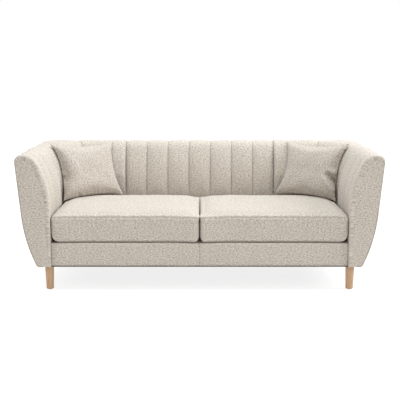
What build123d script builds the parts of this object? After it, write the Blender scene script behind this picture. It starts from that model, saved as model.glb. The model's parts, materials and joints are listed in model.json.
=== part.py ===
from build123d import *
from math import asin, cos, degrees, radians
import os

os.makedirs("parts", exist_ok=True)

# A three-seat sofa. X runs along it, the front faces -Y and Z is up. The origin
# is on the floor, in the middle of the sofa's width and depth. Millimetres.

# Driving dimensions.
WIDTH = 2110.0  # over the arms, where they are widest
DEPTH = 866.0  # arm fronts to the rear of the back
HEIGHT = 796.0
BASE_Z = 146.0  # underside of the body, which is the height of the legs
DECK_Z = 286.0  # top of the sprung deck
WALL = 191.0  # thickness of an arm or the back, widest outside to inside at the seat

FRONT_Y = -DEPTH / 2
REAR_Y = DEPTH / 2
INNER_X = WIDTH / 2 - WALL  # inside of the arms at the seat
INNER_Y = REAR_Y - WALL  # inside of the back at the seat
OUTER_CORNER = 140.0  # rounding of the rear outside corners, seen from above
INNER_CORNER = 220.0  # rounding of the inside corners at the seat

# Section through an arm or the back.
OUTER_ROLL = 42.0  # rounding along the top outside edge
INNER_ROLL = 80.0  # rounding along the top inside edge
LEAN_RADIUS = 711.0  # the inside surface leans away on this arc
BEND_Z = 445.0  # where the lean starts, just under the seat's top
KNEE_Z = 450.0  # the outside surface curves in below this height
KNEE_TUCK = 26.0
BASE_TUCK = 108.0
CREST = 1.0  # the inside roll peaks this far above the flat top, which trims it
OVERRUN = 50.0  # how far cutting solids run past what they cut
LEAN_ANGLE = asin((HEIGHT + CREST - INNER_ROLL - BEND_Z) / (LEAN_RADIUS - INNER_ROLL))
CREST_REACH = LEAN_RADIUS - (LEAN_RADIUS - INNER_ROLL) * cos(LEAN_ANGLE)

# Layers of the upholstery, and stock sizes.
CLOTH = 3.0  # cover with its backing
GAP = 0.4  # clearance between layers
FOAM = 40.0  # over the arms and the back
PLY = 18.0
BOARD = 25.0
FRAME_LOW_Z = BASE_Z + 3.0  # underside of the timber, above the leg plates
RAIL_TOP_Z = 272.0  # top of the seat frame, where the springs are fixed
RAIL_SETBACK = 20.0  # the rail cover stands this far behind the arm fronts
TOP_RAIL_REACH = (125.0, 179.0)  # its two sides, out from the seat-level inside

# Timber.
EASE = 2.0  # chamfer on every sawn edge
JOINT_PLAY = 1.0  # between a base rail and the inside cover
FRAME_SIDE_GAP = 6.0  # the seat frame stands this far inside the arms,
FRAME_REAR_GAP = 4.0  # this far in front of the back
RAIL_WADDING = 12.0  # and this far behind the rail cover
POST_WADDING = 13.0  # room for wadding round the edge of an arm front post
POST_LIFT = 8.0  # its foot stands this far above the body's underside
BASE_RAIL_HEIGHT = 35.0
BASE_RAIL_WIDTH = 70.0
BASE_RAIL_DEPTH = 730.0  # where it ends, back from the arm front
TOP_RAIL_Z = 716.0
TOP_RAIL_HEIGHT = 30.0
TOP_RAIL_DEPTH = 756.0
BACK_RAIL_OVERHANG = 88.0  # the back's top rail runs this far over each arm
REAR_POST_GAP = 2.0

# Springs.
WIRE_RADIUS = 1.9
SPRING_Z = 276.5
SPRING_HALF_WIDTH = 25.0
SPRING_BARS = 13
SPRINGS_PER_SEAT = 4
SPRING_SPACING = 205.0
FIRST_SPRING_X = 110.0

# Legs and their fastenings.
LEG_X = 885.0
LEG_FRONT_INSET = 62.0
LEG_REAR_INSET = 166.0
LEG_TOP_RADIUS = 26.5
LEG_FOOT_RADIUS = 21.5
GLIDE = 3.0
BOLT_RADIUS = 4.0
BOLT_HOLE = 4.2
BOLT_IN_LEG = 34.0
BOLT_IN_RAIL = 32.0
BOLT_HEAD_RADIUS = 2.2 * BOLT_RADIUS
BOLT_HEAD_HEIGHT = 1.4 * BOLT_RADIUS
FRAME_BOLT_DEPTHS = (103.0, 583.0)  # back from the arm front
FRAME_BOLT_REACH = 35.0  # into the arm's base rail

# Seat cushions.
CUSHION_TOP_Z = 452.0
CUSHION_FRONT_INSET = 8.0
CUSHION_SIDE_GAP = 1.5  # to the sofa's middle
CUSHION_ARM_GAP = 2.5
CUSHION_WALL_GAP = 3.0
CUSHION_REAR_CORNER = 216.0
CUSHION_CORNER = 30.0
CUSHION_EDGE = 22.0
ZIP_LENGTH = 400.0
ZIP_WIDTH = 10.0
ZIP_OFFSET = 100.0  # from the cushion's middle, clear of its rounded rear corner

# Scatter cushions.
PILLOW_WIDTH = 410.0
PILLOW_HEIGHT = 358.0
PILLOW_THICKNESS = 118.0
PILLOW_RIM = 12.0
PILLOW_TURN = 33.0  # degrees that it faces inwards
PILLOW_LEAN = 21.0  # degrees that it leans back
PILLOW_X = 698.0
PILLOW_Y = FRONT_Y + 575.0
PILLOW_CLEARANCE = 4.0  # above the seat cushion
SEAM_OVERRUN = 1.0  # how far the closing seam's cut runs past the rim


def save(part, name):
    """Label one finished piece and write it."""
    part.label = name
    export_step(part, f"parts/{name}.step")


def save_pair(part, name):
    """Write a right-hand piece and its mirror image on the left."""
    with BuildPart() as left:
        mirror(part, about=Plane.YZ)
    save(part, f"{name}_right")
    save(left.part, f"{name}_left")


def section_plane(x, y, along_y=False):
    """A vertical plane at (x, y) whose own x runs outwards and own y runs up."""
    if along_y:
        return Plane(origin=(x, y, 0), x_dir=(0, 1, 0), z_dir=(1, 0, 0))
    return Plane(origin=(x, y, 0), x_dir=(1, 0, 0), z_dir=(0, -1, 0))


def outer_section(plane, reach, inset):
    """The body's outside section, from its middle out to `reach`, moved in by `inset`."""
    roll_centre = (reach - OUTER_ROLL, HEIGHT - OUTER_ROLL)
    shoulder = (reach - inset, HEIGHT - OUTER_ROLL)
    knee = (reach - KNEE_TUCK - inset, KNEE_Z)
    foot = (reach - BASE_TUCK - inset, BASE_Z)
    with BuildSketch(plane) as section:
        with BuildLine():
            Line((0, BASE_Z), foot)
            TangentArc(knee, foot, tangent=(knee[0] - shoulder[0], knee[1] - shoulder[1]))
            Line(knee, shoulder)
            CenterArc(roll_centre, OUTER_ROLL - inset, 0, 90)
            Line((roll_centre[0], HEIGHT - inset), (0, HEIGHT - inset))
            Line((0, HEIGHT - inset), (0, BASE_Z))
        make_face()
    return section.sketch


def space_section(plane, reach, inset, low_z):
    """The space between the arms, moved into the wall by `inset`, from `low_z` up."""
    lean = degrees(LEAN_ANGLE)
    roll_z = HEIGHT + CREST - INNER_ROLL
    crest = (reach + CREST_REACH, HEIGHT + CREST - inset)
    outside = reach + WALL + OVERRUN
    with BuildSketch(plane) as section:
        with BuildLine():
            Line((0, low_z), (reach + inset, low_z))
            Line((reach + inset, low_z), (reach + inset, BEND_Z))
            CenterArc((reach + LEAN_RADIUS, BEND_Z), LEAN_RADIUS - inset, 180, -lean)
            CenterArc((crest[0], roll_z), INNER_ROLL - inset, 180 - lean, lean - 90)
            Polyline(
                crest,
                (outside, crest[1]),
                (outside, HEIGHT + OVERRUN),
                (0, HEIGHT + OVERRUN),
                (0, low_z),
            )
        make_face()
    return section.sketch


def tub(section, reach_x, reach_y, corner, front_y):
    """Carry a section along both sides and the rear, around two rounded corners.

    `section(plane, reach)` draws it. The front is open-ended at `front_y`."""
    corner_x = reach_x - corner
    corner_y = reach_y - corner
    with BuildPart() as side:
        add(section(section_plane(0, corner_y), reach_x))
        extrude(amount=corner_y - front_y, dir=(0, -1, 0))
    with BuildPart() as rear:
        add(section(section_plane(0, corner_y, along_y=True), corner))
        extrude(amount=corner_x, dir=(1, 0, 0))
    with BuildPart() as turn:
        add(section(section_plane(corner_x, corner_y), corner))
        revolve(axis=Axis((corner_x, corner_y, 0), (0, 0, 1)), revolution_arc=90)
    with BuildPart() as body:
        add([side.part, rear.part, turn.part])
        mirror(about=Plane.YZ)
    return body.part


def outer_body(inset):
    """Everything inside the outside covers, as one closed form."""
    return tub(
        lambda plane, reach: outer_section(plane, reach, inset),
        WIDTH / 2,
        REAR_Y,
        OUTER_CORNER,
        FRONT_Y,
    )


def seat_space(inset, low_z):
    """The space between the arms and in front of the back, grown by `inset`."""
    return tub(
        lambda plane, reach: space_section(plane, reach, inset, low_z),
        INNER_X,
        INNER_Y,
        INNER_CORNER,
        FRONT_Y - OVERRUN,
    )


def region(x_range, y_range, z_range):
    """A box between two corners, for cutting pieces apart."""
    lows = (x_range[0], y_range[0], z_range[0])
    sizes = (x_range[1] - x_range[0], y_range[1] - y_range[0], z_range[1] - z_range[0])
    with BuildPart() as block:
        with Locations(lows):
            Box(*sizes, align=(Align.MIN, Align.MIN, Align.MIN))
    return block.part


def keep(solid, block):
    """The part of a solid that lies in a region."""
    with BuildPart() as piece:
        add(solid)
        add(block, mode=Mode.INTERSECT)
    return piece.part


def board(x_range, y_range, z_range):
    """A sawn timber with eased edges."""
    with BuildPart() as timber:
        add(region(x_range, y_range, z_range))
        chamfer(timber.edges(), EASE)
    return timber.part


# ---- The body's layers ----
CORNER_X = INNER_X - INNER_CORNER  # where the inside corners start to turn
CORNER_Y = INNER_Y - INNER_CORNER
OUTER_CORNER_X = WIDTH / 2 - OUTER_CORNER
SEAM_Z = HEIGHT - OUTER_ROLL  # the outside covers are sewn on at this height
COVER_BACK_Y = FRONT_Y + CLOTH  # back of the arm front covers
FAR = 2 * WIDTH
BELOW = -OVERRUN
PAD = CLOTH + GAP  # depth of the foam's face
CORE = CLOTH + FOAM + GAP  # depth of the timber's face

outer_0 = outer_body(0)
space_0 = seat_space(0, BELOW)

with BuildPart() as lining:
    add(outer_body(CLOTH))
    add(seat_space(CLOTH, BELOW), mode=Mode.SUBTRACT)

with BuildPart() as skin:
    add(outer_0)
    add(space_0, mode=Mode.SUBTRACT)
    add(lining.part, mode=Mode.SUBTRACT)
    add(region((-FAR, FAR), (COVER_BACK_Y, FAR), (0, FAR)), mode=Mode.INTERSECT)

with BuildPart() as outside_skin:
    add(skin.part)
    add(outer_body(FOAM), mode=Mode.SUBTRACT)
    add(region((-FAR, FAR), (-FAR, FAR), (0, SEAM_Z)), mode=Mode.INTERSECT)

with BuildPart() as inside_skin:
    add(skin.part)
    add(outside_skin.part, mode=Mode.SUBTRACT)

with BuildPart() as foam:
    add(outer_body(PAD))
    add(seat_space(CLOTH + FOAM, BELOW), mode=Mode.INTERSECT)
    add(seat_space(PAD, BELOW), mode=Mode.SUBTRACT)
    add(
        region((-FAR, FAR), (COVER_BACK_Y + GAP, FAR), (DECK_Z + GAP, FAR)),
        mode=Mode.INTERSECT,
    )

# ---- Seat frame ----
FRAME_X = INNER_X - FRAME_SIDE_GAP
FRAME_FRONT_Y = FRONT_Y + RAIL_SETBACK + RAIL_WADDING
FRAME_REAR_Y = INNER_Y - FRAME_REAR_GAP
BETWEEN_RAILS = (FRAME_FRONT_Y + BOARD + GAP, FRAME_REAR_Y - BOARD - GAP)
FRAME_Z = (FRAME_LOW_Z, RAIL_TOP_Z)
BLOCK_LEG = 70.0
BLOCK_Z = 182.5
BLOCK_HEIGHT = 72.5
FRAME_BOLT_Z = 166.0
FRAME_BOLTS_Y = [FRONT_Y + bolt_depth for bolt_depth in FRAME_BOLT_DEPTHS]
FRAME_BOLT_X = (FRAME_X - BOARD, INNER_X + FRAME_BOLT_REACH)

front_rail = board((-FRAME_X, FRAME_X), (FRAME_FRONT_Y, FRAME_FRONT_Y + BOARD), FRAME_Z)
save(front_rail, "front_rail")
rear_rail = board((-FRAME_X, FRAME_X), (FRAME_REAR_Y - BOARD, FRAME_REAR_Y), FRAME_Z)
save(rear_rail, "rear_rail")
centre_rail = board((-BOARD / 2, BOARD / 2), BETWEEN_RAILS, (FRAME_LOW_Z, RAIL_TOP_Z - PLY))
save(centre_rail, "centre_rail")

# Shanks of the bolts that hold the arm frames to the seat frame, and their heads.
with BuildPart() as bolt_holes:
    for bolt_y in FRAME_BOLTS_Y:
        with BuildSketch(Plane(origin=(FRAME_BOLT_X[0], bolt_y, FRAME_BOLT_Z), z_dir=(1, 0, 0))):
            Circle(BOLT_HOLE)
        extrude(amount=FRAME_BOLT_X[1] - FRAME_BOLT_X[0] + GAP)
with BuildPart() as frame_bolts:
    for bolt_y in FRAME_BOLTS_Y:
        head_plane = Plane(origin=(FRAME_BOLT_X[0], bolt_y, FRAME_BOLT_Z), z_dir=(1, 0, 0))
        with BuildSketch(head_plane):
            Circle(BOLT_RADIUS)
        extrude(amount=FRAME_BOLT_X[1] - FRAME_BOLT_X[0])
        with BuildSketch(head_plane):
            RegularPolygon(BOLT_HEAD_RADIUS, 6)
        extrude(amount=-BOLT_HEAD_HEIGHT)
    mirror(about=Plane.YZ)
save(frame_bolts.part, "frame_bolts")

with BuildPart() as side_rail:
    add(board((FRAME_X - BOARD, FRAME_X), BETWEEN_RAILS, FRAME_Z))
    add(bolt_holes.part, mode=Mode.SUBTRACT)
save_pair(side_rail.part, "side_rail")

block_corner = (FRAME_X - BOARD - GAP, BETWEEN_RAILS[1])
block_front = (FRAME_X - BOARD - GAP, BETWEEN_RAILS[0])
with BuildPart() as corner_blocks:
    for (corner_x, corner_y), turn in ((block_corner, -1), (block_front, 1)):
        with BuildSketch(Plane.XY.offset(BLOCK_Z)):
            with BuildLine():
                Polyline(
                    (corner_x, corner_y),
                    (corner_x - BLOCK_LEG, corner_y),
                    (corner_x, corner_y + turn * BLOCK_LEG),
                    close=True,
                )
            make_face()
        extrude(amount=BLOCK_HEIGHT)
    mirror(about=Plane.YZ)
save(corner_blocks.part, "corner_blocks")

# ---- Arm frames ----
POST_FRONT_Y = COVER_BACK_Y + GAP
BEHIND_POST_Y = POST_FRONT_Y + PLY + GAP
BASE_RAIL_Z = (FRAME_LOW_Z, FRAME_LOW_Z + BASE_RAIL_HEIGHT)
BASE_RAIL_REACH = (PAD + JOINT_PLAY, PAD + JOINT_PLAY + BASE_RAIL_WIDTH)
BASE_RAIL_X = tuple(INNER_X + reach for reach in BASE_RAIL_REACH)
BASE_RAIL_END_Y = FRONT_Y + BASE_RAIL_DEPTH
TOP_RAIL_RANGE_Z = (TOP_RAIL_Z, TOP_RAIL_Z + TOP_RAIL_HEIGHT)
TOP_RAIL_END_Y = FRONT_Y + TOP_RAIL_DEPTH
RIB_RANGE_Z = (BASE_RAIL_Z[1] + GAP, TOP_RAIL_Z - GAP)
LEG_SPOTS = ((LEG_X, FRONT_Y + LEG_FRONT_INSET), (LEG_X, REAR_Y - LEG_REAR_INSET))
BARREL_RADIUS = 5.5
BARREL_LENGTH = 14.0


def arm_profile(y, inset, heights):
    """A plywood panel cut to the arm's section, inside its foam and `inset` from its
    covers, between two heights."""
    plane = section_plane(0, y)
    section = outer_section(plane, WIDTH / 2, inset)
    section -= space_section(plane, INNER_X, CORE, BELOW)
    with BuildPart() as panel:
        add(section)
        extrude(amount=PLY, dir=(0, 1, 0))
        add(region((INNER_X + inset, INNER_X + CORE), (y, y + PLY), (BASE_Z, DECK_Z)))
        add(region((0, FAR), (-FAR, FAR), heights), mode=Mode.INTERSECT)
    return panel.part


arm_front_post = arm_profile(POST_FRONT_Y, POST_WADDING, (BASE_Z + POST_LIFT, HEIGHT))
save_pair(arm_front_post, "arm_front_post")
arm_rear_post = arm_profile(CORNER_Y - PLY - REAR_POST_GAP, PAD, RIB_RANGE_Z)
save_pair(arm_rear_post, "arm_rear_post")

with BuildPart() as arm_base_rail:
    add(board(BASE_RAIL_X, (BEHIND_POST_Y, BASE_RAIL_END_Y), BASE_RAIL_Z))
    add(bolt_holes.part, mode=Mode.SUBTRACT)
    with BuildSketch(Plane.XY.offset(BASE_RAIL_Z[0])):
        with Locations(*LEG_SPOTS):
            Circle(BARREL_RADIUS + GAP)
    extrude(amount=BARREL_LENGTH + GAP, mode=Mode.SUBTRACT)
    with BuildSketch(Plane.XY.offset(BASE_RAIL_Z[0])):
        with Locations(*LEG_SPOTS):
            Circle(BOLT_HOLE)
    extrude(amount=BOLT_IN_RAIL, mode=Mode.SUBTRACT)
save_pair(arm_base_rail.part, "arm_base_rail")

top_rail_x = tuple(INNER_X + reach for reach in TOP_RAIL_REACH)
arm_top_rail = board(top_rail_x, (BEHIND_POST_Y, TOP_RAIL_END_Y), TOP_RAIL_RANGE_Z)
save_pair(arm_top_rail, "arm_top_rail")

# ---- Back frame ----
RIB_X = 480.0
GUSSET_INNER = 880.0
POST_SIZE = 45.0
POST_X = 880.0
BACK_RAIL_HALF = INNER_X + BACK_RAIL_OVERHANG
GUSSET_DEPTH = 80.0  # how far it runs forward under the arm's top rail
GUSSET_SIDE_SETBACK = 6.0
GUSSET_REAR_SETBACK = 8.0
GUSSET_END_SETBACK = 2.0


def back_rib(x):
    """An upright plywood rib of the back, centred on `x`."""
    plane = section_plane(x - PLY / 2, 0, along_y=True)
    section = outer_section(plane, REAR_Y, PAD)
    section -= space_section(plane, INNER_Y, CORE, BELOW)
    sides = (x - PLY / 2, x + PLY / 2)
    with BuildPart() as rib:
        add(section)
        extrude(amount=PLY, dir=(1, 0, 0))
        add(region(sides, (INNER_Y + PAD, INNER_Y + CORE), (BASE_Z, DECK_Z)))
        add(region(sides, (0, FAR), RIB_RANGE_Z), mode=Mode.INTERSECT)
    return rib.part


for side_name, rib_x in (("left", -RIB_X), ("centre", 0.0), ("right", RIB_X)):
    save(back_rib(rib_x), f"back_rib_{side_name}")

back_base_half = BASE_RAIL_X[0] - GAP
back_base_rail = board(
    (-back_base_half, back_base_half),
    tuple(INNER_Y + reach for reach in BASE_RAIL_REACH),
    BASE_RAIL_Z,
)
save(back_base_rail, "back_base_rail")
top_rail_y = tuple(INNER_Y + reach for reach in TOP_RAIL_REACH)
back_top_rail = board((-BACK_RAIL_HALF, BACK_RAIL_HALF), top_rail_y, TOP_RAIL_RANGE_Z)
save(back_top_rail, "back_top_rail")

gusset_front_y = TOP_RAIL_END_Y - GUSSET_DEPTH
gusset_side_x = top_rail_x[1] - GUSSET_SIDE_SETBACK
gusset_rear_y = top_rail_y[1] - GUSSET_REAR_SETBACK
GUSSET_Z = TOP_RAIL_Z - GAP - PLY
with BuildPart() as corner_gussets:
    with BuildSketch(Plane.XY.offset(GUSSET_Z)):
        with BuildLine():
            Polyline(
                (GUSSET_INNER, gusset_front_y),
                (gusset_side_x, gusset_front_y),
                (gusset_side_x, TOP_RAIL_END_Y - GUSSET_END_SETBACK),
                (BACK_RAIL_HALF - GUSSET_END_SETBACK, gusset_rear_y),
                (GUSSET_INNER, gusset_rear_y),
                close=True,
            )
        make_face()
    extrude(amount=PLY)
    mirror(about=Plane.YZ)
save(corner_gussets.part, "corner_gussets")

corner_post = board(
    (POST_X, POST_X + POST_SIZE),
    (BASE_RAIL_END_Y - POST_SIZE, BASE_RAIL_END_Y),
    (BASE_RAIL_Z[1] + GAP, GUSSET_Z - GAP),
)
save_pair(corner_post, "corner_post")

# ---- Springs and deck ----
CLIP_SIZE = (30.0, 14.0, 8.0)
FIRST_BAR_Y = FRAME_FRONT_Y + BOARD / 2
LAST_BAR_Y = FRAME_REAR_Y - BOARD / 2
SPRING_PITCH = (LAST_BAR_Y - FIRST_BAR_Y) / (SPRING_BARS - 1)
SPRING_XS = [FIRST_SPRING_X + i * SPRING_SPACING for i in range(SPRINGS_PER_SEAT)]
SPRING_XS += [-x for x in SPRING_XS]

# One zigzag spring: bars across it, joined by half turns at alternate ends.
with BuildPart() as spring:
    with BuildLine() as zigzag:
        for bar in range(SPRING_BARS):
            bar_y = FIRST_BAR_Y + bar * SPRING_PITCH
            end_x = SPRING_HALF_WIDTH * (1 if bar % 2 == 0 else -1)
            Line((-end_x, bar_y), (end_x, bar_y))
            if bar < SPRING_BARS - 1:
                half_turn = 180 if end_x > 0 else -180
                turn_centre = (end_x, bar_y + SPRING_PITCH / 2)
                CenterArc(turn_centre, SPRING_PITCH / 2, -90, half_turn)
    with BuildSketch(Plane(origin=zigzag.line @ 0, z_dir=zigzag.line % 0)):
        Circle(WIRE_RADIUS)
    sweep(path=zigzag.line)
with BuildPart() as springs:
    with Locations(*[(x, 0, SPRING_Z) for x in SPRING_XS]):
        add(spring.part)
save(springs.part, "sinuous_springs")

with BuildPart() as spring_clips:
    clip_spots = [(x, y, SPRING_Z) for x in SPRING_XS for y in (FIRST_BAR_Y, LAST_BAR_Y)]
    with Locations(*clip_spots):
        Box(*CLIP_SIZE)
    with Locations(*clip_spots):
        Cylinder(
            WIRE_RADIUS + GAP / 2,
            CLIP_SIZE[0] + GAP,
            rotation=(0, 90, 0),
            mode=Mode.SUBTRACT,
        )
save(spring_clips.part, "spring_clips")

deck_bottom_z = SPRING_Z + CLIP_SIZE[2] / 2 + GAP
deck_pad = region(
    (-FRAME_X, FRAME_X), (FRAME_FRONT_Y, FRAME_REAR_Y), (deck_bottom_z, DECK_Z)
)
save(deck_pad, "deck_pad")
dust_cover = region(
    (-FRAME_X, FRAME_X), (FRAME_FRONT_Y, FRAME_REAR_Y), (BASE_Z, FRAME_LOW_Z - GAP)
)
save(dust_cover, "dust_cover")

# ---- Foam ----
arm_block = region((0, FAR), (-FAR, CORNER_Y - GAP / 2), (0, FAR))
save_pair(keep(foam.part, arm_block), "arm_foam")
back_block = region((-FAR, FAR), (CORNER_Y + GAP / 2, FAR), (0, FAR))
save(keep(foam.part, back_block), "back_foam")

rail_face_y = FRONT_Y + RAIL_SETBACK
rail_half = INNER_X - GAP
rail_pad = region(
    (-FRAME_X, FRAME_X),
    (rail_face_y + PAD, FRAME_FRONT_Y - GAP),
    (FRAME_LOW_Z, DECK_Z - GAP),
)
save(rail_pad, "rail_pad")

# ---- Covers ----
LIP_DEPTH = 100.0  # how far the rail cover runs back over the deck
LIP_TOP_Z = DECK_Z + CLOTH
with BuildPart() as front_rail_cover:
    with BuildSketch(Plane.YZ.offset(-rail_half)):
        with BuildLine():
            Polyline(
                (rail_face_y, BASE_Z),
                (rail_face_y, LIP_TOP_Z),
                (rail_face_y + LIP_DEPTH, LIP_TOP_Z),
                (rail_face_y + LIP_DEPTH, DECK_Z),
                (rail_face_y + CLOTH, DECK_Z),
                (rail_face_y + CLOTH, BASE_Z),
                close=True,
            )
        make_face()
    extrude(amount=2 * rail_half)
save(front_rail_cover.part, "front_rail_cover")

front_plane = section_plane(0, FRONT_Y)
front_section = outer_section(front_plane, WIDTH / 2, CLOTH)
front_section -= space_section(front_plane, INNER_X, CLOTH, BELOW)
with BuildPart() as arm_front_cover:
    add(front_section)
    extrude(amount=CLOTH, dir=(0, 1, 0))
save_pair(arm_front_cover.part, "arm_front_cover")

with BuildPart() as inside_arm_cover:
    add(inside_skin.part)
    add(region((0, FAR), (-FAR, CORNER_Y), (0, FAR)), mode=Mode.INTERSECT)
    add(bolt_holes.part, mode=Mode.SUBTRACT)
save_pair(inside_arm_cover.part, "inside_arm_cover")
above_deck = (DECK_Z + GAP, FAR)
corner_region = region((CORNER_X, FAR), (CORNER_Y, FAR), above_deck)
save_pair(keep(inside_skin.part, corner_region), "inside_corner_cover")
back_region = region((-CORNER_X, CORNER_X), (CORNER_Y, FAR), above_deck)
save(keep(inside_skin.part, back_region), "inside_back_cover")

side_region = region((OUTER_CORNER_X, FAR), (-FAR, FAR), (0, FAR))
save_pair(keep(outside_skin.part, side_region), "outside_arm_cover")
rear_region = region((-OUTER_CORNER_X, OUTER_CORNER_X), (0, FAR), (0, FAR))
save(keep(outside_skin.part, rear_region), "outside_back_cover")

# ---- Legs ----
LEG_FOOT_EASE = 3.0
GLIDE_RADIUS = 13.0
GLIDE_PIN = 1.5
GLIDE_PIN_LENGTH = 12.0
PLATE_SIZE = (34.0, 60.0)
with BuildPart() as leg:
    with BuildSketch(Plane.XZ):
        with BuildLine():
            Polyline(
                (0, GLIDE),
                (LEG_FOOT_RADIUS, GLIDE),
                (LEG_TOP_RADIUS, BASE_Z),
                (0, BASE_Z),
                close=True,
            )
        make_face()
    revolve(axis=Axis.Z)
    foot_edge = leg.edges().filter_by(GeomType.CIRCLE).sort_by(Axis.Z)[0]
    fillet(foot_edge, LEG_FOOT_EASE)
    with BuildSketch(Plane.XY.offset(BASE_Z)):
        Circle(BOLT_HOLE)
    extrude(amount=-BOLT_IN_LEG - GAP, mode=Mode.SUBTRACT)
    with BuildSketch(Plane.XY.offset(GLIDE)):
        Circle(GLIDE_PIN + GAP / 2)
    extrude(amount=GLIDE_PIN_LENGTH + GAP, mode=Mode.SUBTRACT)

ALL_LEGS = {
    "front_left": (-LEG_X, LEG_SPOTS[0][1]),
    "front_right": (LEG_X, LEG_SPOTS[0][1]),
    "rear_left": (-LEG_X, LEG_SPOTS[1][1]),
    "rear_right": (LEG_X, LEG_SPOTS[1][1]),
}
for leg_name, spot in ALL_LEGS.items():
    with BuildPart() as placed_leg:
        with Locations(spot):
            add(leg.part)
    save(placed_leg.part, f"leg_{leg_name}")

with BuildPart() as glides:
    with BuildSketch():
        with Locations(*ALL_LEGS.values()):
            Circle(GLIDE_RADIUS)
    extrude(amount=GLIDE)
    with BuildSketch(Plane.XY.offset(GLIDE)):
        with Locations(*ALL_LEGS.values()):
            Circle(GLIDE_PIN)
    extrude(amount=GLIDE_PIN_LENGTH)
save(glides.part, "leg_glides")

with BuildPart() as leg_plates:
    with BuildSketch(Plane.XY.offset(BASE_Z + GAP / 2)):
        with Locations(*ALL_LEGS.values()):
            Rectangle(*PLATE_SIZE)
    extrude(amount=FRAME_LOW_Z - BASE_Z - GAP)
    with BuildSketch(Plane.XY.offset(BASE_Z + GAP)):
        with Locations(*ALL_LEGS.values()):
            Circle(BARREL_RADIUS)
    extrude(amount=FRAME_LOW_Z - BASE_Z - GAP + BARREL_LENGTH)
    with BuildSketch(Plane.XY.offset(BASE_Z)):
        with Locations(*ALL_LEGS.values()):
            Circle(BOLT_HOLE)
    extrude(amount=FRAME_LOW_Z - BASE_Z + BARREL_LENGTH + GAP, mode=Mode.SUBTRACT)
save(leg_plates.part, "leg_plates")

with BuildPart() as leg_bolts:
    with BuildSketch(Plane.XY.offset(BASE_Z - BOLT_IN_LEG)):
        with Locations(*ALL_LEGS.values()):
            Circle(BOLT_RADIUS)
    extrude(amount=BOLT_IN_LEG + FRAME_LOW_Z - BASE_Z + BOLT_IN_RAIL - GAP)
save(leg_bolts.part, "leg_bolts")

# ---- Seat cushions ----
CUSHION_X = (CUSHION_SIDE_GAP, INNER_X - CUSHION_ARM_GAP)
CUSHION_Y = (FRONT_Y + CUSHION_FRONT_INSET, INNER_Y - CUSHION_WALL_GAP)
CUSHION_Z = (LIP_TOP_Z + GAP, CUSHION_TOP_Z)


def cushion_block(inset):
    """The right seat cushion's form, moved in by `inset` all round."""
    width = CUSHION_X[1] - CUSHION_X[0] - 2 * inset
    depth = CUSHION_Y[1] - CUSHION_Y[0] - 2 * inset
    low_z = CUSHION_Z[0] + inset
    with BuildPart() as block:
        with BuildSketch(Plane.XY.offset(low_z)) as plan:
            with Locations((CUSHION_X[0] + inset, CUSHION_Y[0] + inset)):
                Rectangle(width, depth, align=(Align.MIN, Align.MIN))
            rear_outer = plan.vertices().sort_by(Axis.X)[-2:].sort_by(Axis.Y)[-1]
            fillet(rear_outer, CUSHION_REAR_CORNER - inset)
            square = [v for v in plan.vertices() if v.X < CUSHION_X[0] + inset + GAP]
            square.append(plan.vertices().sort_by(Axis.X)[-2:].sort_by(Axis.Y)[0])
            fillet(square, CUSHION_CORNER - inset)
        extrude(amount=CUSHION_Z[1] - inset - low_z)
        rims = block.faces().filter_by(Plane.XY).edges()
        fillet(rims, CUSHION_EDGE - inset)
    return block.part


zip_x = (CUSHION_X[0] + CUSHION_X[1]) / 2 - ZIP_OFFSET
zip_z = (CUSHION_Z[0] + CUSHION_Z[1]) / 2
zip_slot = region(
    (zip_x - ZIP_LENGTH / 2, zip_x + ZIP_LENGTH / 2),
    (CUSHION_Y[1] - CLOTH, CUSHION_Y[1]),
    (zip_z - ZIP_WIDTH / 2, zip_z + ZIP_WIDTH / 2),
)
with BuildPart() as cushion_cover:
    add(cushion_block(0))
    add(cushion_block(CLOTH), mode=Mode.SUBTRACT)
    add(zip_slot, mode=Mode.SUBTRACT)
save_pair(cushion_cover.part, "seat_cushion_cover")
save_pair(cushion_block(PAD), "seat_cushion_core")
save_pair(zip_slot, "seat_cushion_zip")

# ---- Scatter cushions ----
def lens(plane, width, length, thickness):
    """A lens-shaped bar: `width` across, `thickness` at its middle, `length` long."""
    rim = PILLOW_RIM / 2 * thickness / PILLOW_THICKNESS
    half = width / 2
    with BuildPart() as bar:
        with BuildSketch(plane):
            with BuildLine():
                ThreePointArc((-half, rim), (0, thickness / 2), (half, rim))
                Line((half, rim), (half, -rim))
                ThreePointArc((half, -rim), (0, -thickness / 2), (-half, -rim))
                Line((-half, -rim), (-half, rim))
            make_face()
        extrude(amount=length / 2, both=True)
    return bar.part


def pillow_block(inset):
    """A scatter cushion's form, standing at the origin and facing -Y."""
    width = PILLOW_WIDTH - 2 * inset
    height = PILLOW_HEIGHT - 2 * inset
    thickness = PILLOW_THICKNESS - 2 * inset
    upright = Plane(origin=(0, 0, 0), x_dir=(0, 0, 1), z_dir=(1, 0, 0))
    with BuildPart() as block:
        add(lens(Plane.XY, width, height, thickness))
        add(lens(upright, height, width, thickness), mode=Mode.INTERSECT)
    return block.part


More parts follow.
